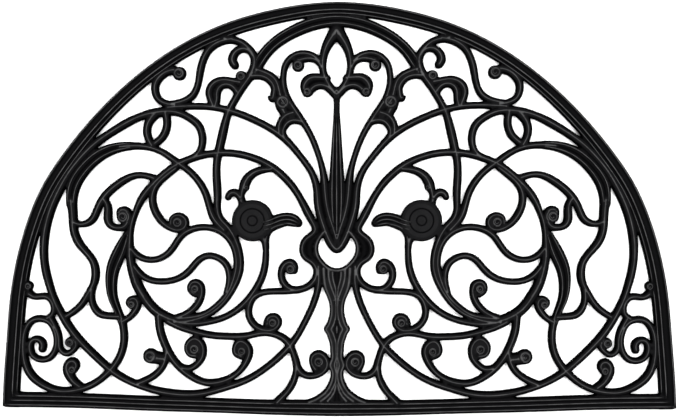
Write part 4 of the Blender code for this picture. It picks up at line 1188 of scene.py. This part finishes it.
    def half(self) -> tuple[np.ndarray, np.ndarray, list[list[int]]]:
        """The drawn half, open along the centre line.

        Returns:
            Its vertices, the painted light at each one, and its faces.
        """
        self.find_walls()
        links: list[tuple[int, int]] = []
        count = 0
        for wall in self.walls:
            links += wall.links(count)
            count += len(wall.line)
        rings = [np.concatenate([wall.set_back(level.back) for wall in self.walls]) for level in self.levels]
        inner, inner_links = self.face_places()
        crest_links = [(here + count, there + count) for here, there in inner_links]
        top, top_triangles, top_of = stretched(np.concatenate([rings[-1], inner]), links, crest_links)
        foot, foot_triangles, foot_of = stretched(rings[0], links, [])
        face = self.face(top)
        # painted shade, 0, along the rim of the face
        face.painted_light[top_of[:count]] = 0
        heights = [level.share * self.relief.wall_top for level in self.levels]
        between = [np.column_stack([ring, np.full(count, z)]) for ring, z in zip(rings[1:-1], heights[1:-1])]
        lift = len(foot) + len(between) * count
        numbers = [foot_of[:count], *np.arange(len(foot), lift).reshape(-1, count), top_of[:count] + lift]
        faces = foot_triangles[:, ::-1].tolist() + (top_triangles + lift).tolist()
        here, there = np.array(links).T
        for low, high in zip(numbers, numbers[1:]):
            faces += np.stack([low[here], low[there], high[there], high[here]], axis=1).tolist()
        sole = np.column_stack([foot, np.zeros(len(foot))])
        vertices = np.concatenate([sole, *between, np.column_stack([top, face.height])])
        # painted shade, 0, on the underside and the walls
        return vertices, np.concatenate([np.zeros(lift), face.painted_light]), faces

    def mesh(self) -> bpy.types.Mesh:
        """The whole skin.

        Returns:
            A closed mesh.
        """
        vertices, painted_light, faces = self.half()
        vertices[abs(vertices[:, 0]) < CENTRED, 0] = 0
        off_centre = vertices[:, 0] > 0
        twin = np.arange(len(vertices))
        twin[off_centre] = len(vertices) + np.arange(off_centre.sum())
        all_vertices = np.concatenate([vertices, vertices[off_centre] * (-1, 1, 1)])
        mesh = bpy.data.meshes.new("mat_skin")
        mesh.from_pydata(all_vertices.tolist(), [], faces + [twin[face[::-1]].tolist() for face in faces])
        set_painted_light(mesh, np.concatenate([painted_light, painted_light[off_centre]]))
        mesh.shade_smooth()
        mesh.set_sharp_from_angle(angle=SHARP_EDGE)
        return mesh


def set_painted_light(mesh: bpy.types.Mesh, painted_light: np.ndarray) -> None:
    """Keeps the painted light at each point of a mesh, from painted shade at 0 to painted highlight at 1, for
    its material to read.
    """
    attribute = mesh.attributes.new("painted_light", "FLOAT", "POINT")
    attribute.data.foreach_set("value", painted_light.astype(np.float32))


def finished_bead(mesh: bpy.types.Mesh, name: str, highlight_spread: float) -> bpy.types.Object:
    """Paints a highlight along a bead's top, weaker the more its surface leans, and puts it in the scene.

    Args:
        mesh: the bead.
        name: the piece's name.
        highlight_spread: how broad the painted highlight on its top is; 1 keeps it to a thin line.

    Returns:
        The piece.
    """
    normals = np.zeros(3 * len(mesh.vertices), np.float32)
    mesh.vertex_normals.foreach_get("vector", normals)
    # painted highlight: the more a bead's surface faces up, the paler it is painted
    set_painted_light(mesh, np.clip(normals[2::3] * highlight_spread, 0, 1))
    mesh.shade_smooth()
    return new_object(mesh, name)


class Value:
    """A socket that can be used in sums: an expression on values adds its Math nodes."""

    def __init__(self, nodes: "Nodes", socket: bpy.types.NodeSocket) -> None:
        """Wraps a socket of a node tree."""
        self.nodes = nodes
        self.socket = socket

    def maths(self, operation: str, *terms: Any) -> "Value":
        """Adds a Math node for an operation on the terms."""
        return self.nodes.add("ShaderNodeMath", {"operation": operation}, dict(enumerate(terms)))

    def __add__(self, other: Any) -> "Value":
        """The sum."""
        return self.maths("ADD", self, other)

    __radd__ = __add__

    def __sub__(self, other: Any) -> "Value":
        """The difference."""
        return self.maths("SUBTRACT", self, other)

    def __rsub__(self, other: Any) -> "Value":
        """The difference the other way round."""
        return self.maths("SUBTRACT", other, self)

    def __mul__(self, other: Any) -> "Value":
        """The product."""
        return self.maths("MULTIPLY", self, other)

    __rmul__ = __mul__

    def __truediv__(self, other: Any) -> "Value":
        """The quotient."""
        return self.maths("DIVIDE", self, other)

    def clamped(self) -> "Value":
        """The value kept from 0 to 1."""
        return self.maths("MINIMUM", self.maths("MAXIMUM", self, 0.0), 1.0)

    def ramp(self, low: float, high: float) -> "Value":
        """The value's place between two ends, as a share from 0 to 1."""
        return ((self - low) / (high - low)).clamped()


class Nodes:
    """A node tree under construction, for a material or for a Geometry Nodes modifier."""

    COLOUR_MIX_INPUTS = (0, 6, 7)  # the Mix node's factor and two colours, by socket number
    COLOUR_MIX_RESULT = 2

    def __init__(self, tree: bpy.types.NodeTree) -> None:
        """Takes the tree."""
        self.tree = tree

    def add(self, kind: str, settings: dict[str, Any], inputs: dict[Any, Any], output: Any = 0) -> Value:
        """Adds a node.

        Args:
            kind: the node's type.
            settings: its properties, set first.
            inputs: values or links for its sockets, by name or number.
            output: the socket to return, by name or number.

        Returns:
            The node's output.
        """
        node = self.tree.nodes.new(kind)
        for name, setting in settings.items():
            setattr(node, name, setting)
        for name, given in inputs.items():
            if isinstance(given, Value):
                self.tree.links.new(given.socket, node.inputs[name])
            else:
                node.inputs[name].default_value = given
        return Value(self, node.outputs[output])

    def mixed_colour(self, factor: Value, low: Any, high: Any) -> Value:
        """A colour mixed from two, each a colour value or three numbers, by a factor."""
        ends = [end if isinstance(end, Value) else (*end, 1.0) for end in (low, high)]
        inputs = dict(zip(self.COLOUR_MIX_INPUTS, (factor, *ends)))
        return self.add("ShaderNodeMix", {"data_type": "RGBA"}, inputs, self.COLOUR_MIX_RESULT)


class Cloud(NamedTuple):
    """A noise pattern: the size of its patches in metres, its detail and its roughness."""

    size: float
    detail: float
    roughness: float

    def over(self, nodes: Nodes, place: Value) -> Value:
        """The pattern over a surface, by its place."""
        inputs = {"Vector": place, "Scale": 1 / self.size, "Detail": self.detail, "Roughness": self.roughness}
        return nodes.add("ShaderNodeTexNoise", {}, inputs)


def new_material(name: str) -> tuple[bpy.types.Material, bpy.types.NodeInputs]:
    """A new material.

    Args:
        name: its name.

    Returns:
        The material, and the inputs of its shader.
    """
    material = bpy.data.materials.new(name)
    material.use_nodes = True
    return material, material.node_tree.nodes["Principled BSDF"].inputs


@dataclass(frozen=True)
class RubberFinish:
    """The look of the moulded rubber: near black and matte, with painted shade in its grooves and on its
    walls, its body colour on its faces and a painted highlight along its crests.

    The painted light of a surface turns its colour from the painted groove shade to body and, more strongly
    in some noise patches, to the painted crest highlight.
    """

    # painted shade: the colour in the grooves and on the walls
    groove: tuple[float, float, float] = (0.0002, 0.0002, 0.0003)
    # the rubber's own colour on its faces
    body: tuple[float, float, float] = (0.0058, 0.0058, 0.0062)
    # painted highlight: the colour along the crests
    crest: tuple[float, float, float] = (0.07, 0.07, 0.071)
    # where the painted light turns from painted shade to the body colour, and where and how faintly the
    # painted crest highlight begins
    body_from: float = 0.3
    body_to: float = 0.95
    highlight_from: float = 0.93
    least_highlight: float = 0.4
    ior: float = 1.35
    specular: float = 0.005
    roughness_low: float = 0.36
    roughness_high: float = 0.5
    grain: Cloud = Cloud(0.0007, 3.0, 0.6)
    flow: Cloud = Cloud(0.012, 4.0, 0.55)
    flow_share: float = 0.7
    # where the noise patches that vary the roughness and the painted highlight's strength begin and end
    patches_from: float = 0.38
    patches_to: float = 0.66
    specks_per_metre: float = 420.0
    speck_width: float = 0.35
    speck_share: float = 0.25
    bump_height: float = 0.00012
    bump_strength: float = 0.15

    def material(self) -> bpy.types.Material:
        """The finish as a material that reads Object coordinates and the mesh's painted light.

        Returns:
            The material.
        """
        material, shader = new_material("moulded_rubber")
        shader["IOR"].default_value = self.ior
        shader["Specular IOR Level"].default_value = self.specular
        nodes = Nodes(material.node_tree)
        place = nodes.add("ShaderNodeTexCoord", {}, {}, "Object")
        painted_light = nodes.add("ShaderNodeAttribute", {"attribute_name": "painted_light"}, {}, "Fac")
        grain, flow = self.grain.over(nodes, place), self.flow.over(nodes, place)
        speckled = {"Vector": place, "Scale": self.specks_per_metre}
        specks = nodes.add("ShaderNodeTexVoronoi", {}, speckled, "Distance")
        # noise patches that vary both the roughness and the strength of the painted crest highlight
        wear_and_highlight_patches = (flow * self.flow_share + grain * (1 - self.flow_share)).ramp(self.patches_from, self.patches_to)
        # painted highlight along the crests, patchy; painted shade in the grooves and on the walls, turning
        # to the body colour on the faces
        painted_crest_highlight = painted_light.ramp(self.highlight_from, 1.0) * (wear_and_highlight_patches * (1 - self.least_highlight) + self.least_highlight)
        face_with_painted_shade = nodes.mixed_colour(painted_light.ramp(self.body_from, self.body_to), self.groove, self.body)
        height = grain * (1 - self.speck_share) + specks.ramp(0.0, self.speck_width) * self.speck_share
        surface = {
            "Base Color": nodes.mixed_colour(painted_crest_highlight, face_with_painted_shade, self.crest),
            "Roughness": self.roughness_high - wear_and_highlight_patches * (self.roughness_high - self.roughness_low),
            "Normal": nodes.add("ShaderNodeBump", {}, {
                "Strength": self.bump_strength, "Distance": self.bump_height, "Height": height
            }),
        }
        for name, value in surface.items():
            material.node_tree.links.new(value.socket, shader[name])
        return material


@dataclass(frozen=True)
class FloorFinish:
    """The pale studio floor."""

    colour: tuple[float, float, float] = (0.86, 0.86, 0.86)
    roughness: float = 0.9

    def material(self) -> bpy.types.Material:
        """The finish as a material.

        Returns:
            The material.
        """
        material, shader = new_material("studio_floor")
        shader["Base Color"].default_value = (*self.colour, 1.0)
        shader["Roughness"].default_value = self.roughness
        return material


def new_object(data: bpy.types.ID, name: str) -> bpy.types.Object:
    """A new object of a mesh, light or camera, in the scene.

    Args:
        data: the mesh, light or camera.
        name: the object's name.

    Returns:
        The object.
    """
    made = bpy.data.objects.new(name, data)
    bpy.context.scene.collection.objects.link(made)
    return made


def new_guide(
    name: str, places: Any, edges: list[tuple[int, int]], label: str, values: np.ndarray
) -> bpy.types.Object:
    """An object whose points guide a Geometry Nodes tree.

    Args:
        name: its name.
        places: rows of places.
        edges: pairs of points that are linked.
        label: the name of the attribute that its points have.
        values: that attribute's value at each point, one number or three.

    Returns:
        The object.
    """
    mesh = bpy.data.meshes.new(name)
    mesh.from_pydata(np.asarray(places).tolist(), edges, [])
    kind, part = ("FLOAT", "value") if values.ndim == 1 else ("FLOAT_VECTOR", "vector")
    mesh.attributes.new(label, kind, "POINT").data.foreach_set(part, values.ravel())
    return new_object(mesh, name)


def with_nodes_applied(
    guide: bpy.types.Object, tree: bpy.types.NodeTree, inputs: dict[str, Any]
) -> bpy.types.Mesh:
    """Runs a Geometry Nodes tree on a guide object and keeps its result.

    Args:
        guide: the object that the tree reads; it is removed afterwards.
        tree: the tree.
        inputs: values for its named inputs.

    Returns:
        The result as a plain mesh.
    """
    modifier = guide.modifiers.new(tree.name, "NODES")
    modifier.node_group = tree
    for item in tree.interface.items_tree:
        if item.in_out == "INPUT" and item.name in inputs:
            modifier[item.identifier] = inputs[item.name]
    evaluated = guide.evaluated_get(bpy.context.evaluated_depsgraph_get())
    mesh = bpy.data.meshes.new_from_object(evaluated)
    guide.modifiers.remove(modifier)
    bpy.data.objects.remove(guide)
    return mesh


@dataclass
class BeadTrees:
    """The Geometry Nodes trees that run beads along lines and over round ends.

    The spiral over a round end is drawn for a radius and a relief of 1. It climbs from spiral_foot by
    spiral_slope for each unit outward.
    """

    rubber: bpy.types.Material
    sides: int = 10
    spiral_steps: int = 26
    spiral_start: float = 0.12
    spiral_end: float = 0.7
    spiral_foot: float = 0.7
    spiral_slope: float = 0.7

    def new_tree(self, name: str, inputs: dict[str, float]) -> tuple[Nodes, list[Value]]:
        """A tree with a geometry input, named number inputs and a geometry output.

        Args:
            name: the tree's name.
            inputs: names and usual values of its number inputs.

        Returns:
            The tree under construction, and its inputs.
        """
        tree = bpy.data.node_groups.new(name, "GeometryNodeTree")
        tree.interface.new_socket("Guide", in_out="INPUT", socket_type="NodeSocketGeometry")
        for label, usual in inputs.items():
            socket = tree.interface.new_socket(label, in_out="INPUT", socket_type="NodeSocketFloat")
            socket.default_value = usual
        tree.interface.new_socket("Bead", in_out="OUTPUT", socket_type="NodeSocketGeometry")
        nodes = Nodes(tree)
        source = tree.nodes.new("NodeGroupInput")
        return nodes, [Value(nodes, source.outputs[label]) for label in ("Guide", *inputs)]

    def swept(self, nodes: Nodes, curve: Value, radius: Value) -> bpy.types.NodeTree:
        """Ends a tree: sweeps the bead's round section along curves, then Realize Instances and Set Material.

        Args:
            nodes: the tree under construction.
            curve: the curves.
            radius: half the bead's width.

        Returns:
            The tree, whose result is a closed mesh.
        """
        upright = nodes.add("GeometryNodeSetCurveNormal", {"mode": "Z_UP"}, {"Curve": curve})
        circle = nodes.add("GeometryNodeCurvePrimitiveCircle", {}, {"Resolution": self.sides, "Radius": 1.0})
        bead = nodes.add("GeometryNodeCurveToMesh", {}, {
            "Curve": upright, "Profile Curve": circle, "Scale": radius, "Fill Caps": True
        })
        real = nodes.add("GeometryNodeRealizeInstances", {}, {0: bead})
        painted = nodes.add("GeometryNodeSetMaterial", {}, {"Geometry": real, "Material": self.rubber})
        nodes.tree.links.new(painted.socket, nodes.tree.nodes.new("NodeGroupOutput").inputs[0])
        return nodes.tree

    def along_lines(self) -> bpy.types.NodeTree:
        """A tree that runs a bead along the guide's edges, as wide as the guide's bead_radius says.

        Returns:
            The tree.
        """
        nodes, (guide, scale) = self.new_tree("bead_along_lines", {"Width Scale": 1.0})
        curve = nodes.add("GeometryNodeMeshToCurve", {}, {"Mesh": guide})
        radius = nodes.add("GeometryNodeInputNamedAttribute", {"data_type": "FLOAT"}, {"Name": "bead_radius"})
        return self.swept(nodes, curve, radius * scale)

    def spirals(self) -> bpy.types.NodeTree:
        """A tree that winds a spiral bead over each of the guide's points, a round end of size knob_size.

        Returns:
            The tree.
        """
        sizes = {"Bead Radius": 0.0005, "Turns": 1.0}
        nodes, (guide, radius, turns) = self.new_tree("spiral_over_knobs", sizes)
        spiral = nodes.add("GeometryNodeCurveSpiral", {}, {
            "Resolution": self.spiral_steps, "Rotations": turns, "Start Radius": self.spiral_start,
            "End Radius": self.spiral_end, "Height": 0.0
        })
        place = nodes.add("GeometryNodeInputPosition", {}, {})
        outward = nodes.add("ShaderNodeVectorMath", {"operation": "LENGTH"}, {0: place}, "Value")
        climb = nodes.add("ShaderNodeCombineXYZ", {}, {"Z": outward * self.spiral_slope + self.spiral_foot})
        on_dome = nodes.add("GeometryNodeSetPosition", {}, {"Geometry": spiral, "Offset": climb})
        size = nodes.add(
            "GeometryNodeInputNamedAttribute", {"data_type": "FLOAT_VECTOR"}, {"Name": "knob_size"}
        )
        wound = nodes.add("GeometryNodeInstanceOnPoints", {}, {
            "Points": guide, "Instance": on_dome, "Scale": size
        })
        return self.swept(nodes, nodes.add("GeometryNodeRealizeInstances", {}, {0: wound}), radius)


@dataclass
class Beads:
    """The raised beads: along the frame, the front bar, the leaves and the spear, and spirals on the knobs.

    A bead along a bar runs where the mat's face is at most hidden over its own bar, for least_points or
    more, and where half the bar's width is at least least_half beads. It is lifted by a share of its width,
    and tapers to tip_share of that at its ends. The spirals are on knobs of least_knob steps or more.
    """

    moulding: Moulding
    trees: BeadTrees
    hidden: float = 0.0002
    lift: float = 0.15
    taper: float = 0.006
    tip_share: float = 0.2
    least_half: float = 2.1
    least_points: int = 3
    least_knob: float = 4.4
    spiral_radius: float = 0.00055
    spiral_turns: float = 1.35
    # how broad the painted highlight spreads along the top of the frame beads, the ribbed bar beads and the
    # knob spirals
    frame_highlight_spread: float = 1.09
    bar_highlight_spread: float = 1.05
    knob_highlight_spread: float = 1.05

    def lines_of(self, ribs: Sequence[Ribs]) -> list[tuple[np.ndarray, float]]:
        """The bead lines of the strands with some kinds of ribs, on both sides of the centre line.

        Args:
            ribs: the kinds of ribs.

        Returns:
            Pairs of a line's points, in metres, and its bead's width.
        """
        lines = []
        for bar in self.moulding.drawn:
            for station in bar.stations:
                if bar.strand.ribs in ribs and station.bead:
                    line = bar.offset(station.side)
                    own = bar.face(line, self.moulding.relief).height
                    own[bar.half < self.least_half * station.bead] = -FAR
                    for side in (1,) if bar.is_whole else (1, -1):
                        lines += self.seen(line * (side, 1), own, station.bead)
        return lines

    def seen(self, line: np.ndarray, own: np.ndarray, bead: float) -> list[tuple[np.ndarray, float]]:
        """The stretches of a bead line that no higher bar covers.

        Args:
            line: the line's places.
            own: the height of its own bar's face there.
            bead: the bead's width.

        Returns:
            Pairs of a stretch's points and the bead's width.
        """
        height, depth, _ = self.moulding.face(np.column_stack([abs(line[:, 0]), line[:, 1]]))
        good = (own > height - self.hidden) & (depth > bead / 2)
        ends = np.flatnonzero(np.diff(np.concatenate([[0], good.astype(int), [0]])))
        points = np.column_stack([line, height + self.lift * bead])
        stretches = [points[first:last] for first, last in zip(ends[::2], ends[1::2])]
        return [(stretch, bead) for stretch in stretches if len(stretch) >= self.least_points]

    def along_bars(self, name: str, ribs: Sequence[Ribs], highlight_spread: float) -> bpy.types.Object:
        """A piece of beads along the bars with some kinds of ribs.

        Args:
            name: the piece's name.
            ribs: the kinds of ribs.
            highlight_spread: how broad the painted highlight on the top is.

        Returns:
            The piece.
        """
        lines = self.lines_of(ribs)
        edges, radii = [], []
        start = 0
        for line, bead in lines:
            edges += [(number, number + 1) for number in range(start, start + len(line) - 1)]
            start += len(line)
            along = run_along(line)
            to_end = np.minimum(along, along[-1] - along)
            radii.append(bead / 2 * np.clip(to_end / self.taper, self.tip_share, 1))
        places = np.concatenate([line for line, _ in lines])
        guide = new_guide(name + "_guide", places, edges, "bead_radius", np.concatenate(radii))
        mesh = with_nodes_applied(guide, self.trees.along_lines(), {"Width Scale": 1.0})
        return finished_bead(mesh, name, highlight_spread)

    def on_knobs(self, name: str) -> bpy.types.Object:
        """The spiral beads on the round ends of the scrolls.

        Args:
            name: the piece's name.

        Returns:
            The piece.
        """
        relief = self.moulding.relief
        places, sizes = [], []
        for boss in BOSSES:
            if boss.turned is KNOB and boss.radius >= self.least_knob:
                x, y = self.moulding.boss_place(boss)
                radius = boss.radius * self.moulding.step
                for side in (1, -1):
                    places.append((side * x, y, relief.wall_top))
                    sizes.append((side * radius, radius, relief.rise))
        guide = new_guide("knob_guide", places, [], "knob_size", np.array(sizes))
        inputs = {"Bead Radius": self.spiral_radius, "Turns": self.spiral_turns}
        return finished_bead(with_nodes_applied(guide, self.trees.spirals(), inputs), name, self.knob_highlight_spread)


@dataclass
class Doormat:
    """The whole mat: its skin and the beads on it, all of one rubber."""

    low: Vector
    high: Vector
    finish: RubberFinish

    def build(self) -> list[bpy.types.Object]:
        """Builds the mat's pieces.

        Returns:
            The pieces, the skin first.
        """
        rubber = self.finish.material()
        step = (self.high.x - self.low.x) / 2 / HALF_WIDTH_STEPS
        moulding = Moulding(step, Relief(self.high.z - self.low.z))
        skin = new_object(moulding.mesh(), "mat_skin")
        skin.data.materials.append(rubber)
        beads = Beads(moulding, BeadTrees(rubber))
        return [
            skin,
            beads.along_bars("frame_beads", [Ribs.FRAME], beads.frame_highlight_spread),
            beads.along_bars("ribbed_bar_beads", [Ribs.TWIN, Ribs.TRIPLE], beads.bar_highlight_spread),
            beads.on_knobs("knob_scrolls"),
        ]

    def fit(self, pieces: list[bpy.types.Object]) -> None:
        """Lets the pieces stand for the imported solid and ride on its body.

        Args:
            pieces: the pieces, the skin first.
        """
        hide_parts(MAT_NODE)
        for piece in pieces:
            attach(piece, BODY)
            piece.data.calc_loop_triangles()
            log.info("%s: %d triangles", piece.name, len(piece.data.loop_triangles))
        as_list(pieces[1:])


class Lamp(NamedTuple):
    """A square soft light: its name, its place in metres and its power in watts."""

    name: str
    place: tuple[float, float, float]
    power: float


@dataclass
class Studio:
    """The pale floor, the soft lights and the camera straight above the mat."""

    floor_size: float = 6.0
    floor_drop: float = 0.0002
    lamps: tuple[Lamp, ...] = (
        Lamp("right_light", (1.5, 0.3, 2.1), 62.0),
        Lamp("left_light", (-1.5, 0.3, 2.1), 48.0),
        Lamp("front_light", (0.0, -1.7, 2.2), 40.0),
        Lamp("back_light", (0.0, 1.7, 2.2), 44.0),
    )
    lamp_size: float = 0.6
    air_strength: float = 0.1
    camera_place: tuple[float, float, float] = (0.0376, -0.002, 1.3014)
    camera_turn: tuple[float, float, float] = (0.058, 1.526, -0.062)
    lens: float = 61.9

    def floor(self) -> None:
        """Lays the floor under the mat."""
        half = self.floor_size / 2
        mesh = bpy.data.meshes.new(FLOOR)
        square = [(-half, -half, 0), (half, -half, 0), (half, half, 0), (-half, half, 0)]
        mesh.from_pydata(square, [], [(0, 1, 2, 3)])
        mesh.materials.append(FloorFinish().material())
        floor = new_object(mesh, FLOOR)
        floor.location.z = -self.floor_drop

    def lights(self) -> None:
        """Hangs the lights, turned to the mat, and sets the pale surroundings."""
        for lamp in self.lamps:
            light = bpy.data.lights.new(lamp.name, "AREA")
            light.size = self.lamp_size
            light.energy = lamp.power
            hung = new_object(light, lamp.name)
            hung.location = lamp.place
            hung.rotation_euler = (-Vector(lamp.place)).to_track_quat("-Z", "Y").to_euler()
        world = bpy.data.worlds.new("studio_air")
        world.use_nodes = True
        sky = world.node_tree.nodes["Background"].inputs
        sky["Color"].default_value = (1, 1, 1, 1)
        sky["Strength"].default_value = self.air_strength
        bpy.context.scene.world = world

    def camera(self) -> None:
        """Sets up the camera above the mat."""
        camera = bpy.data.cameras.new("camera")
        camera.lens = self.lens
        eye = new_object(camera, "camera")
        eye.location = self.camera_place
        eye.rotation_euler = [radians(turn) for turn in self.camera_turn]
        bpy.context.scene.camera = eye

    def build(self) -> None:
        """Builds the studio."""
        self.floor()
        self.lights()
        self.camera()
        bpy.context.scene.view_settings.view_transform = "Standard"


def main() -> None:
    """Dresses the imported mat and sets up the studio."""
    logging.basicConfig(level=logging.INFO, format="%(name)s: %(message)s")
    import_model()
    low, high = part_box(MAT_NODE)
    mat = Doormat(low, high, RubberFinish())
    mat.fit(mat.build())
    Studio().build()


if __name__ == "__main__":
    main()
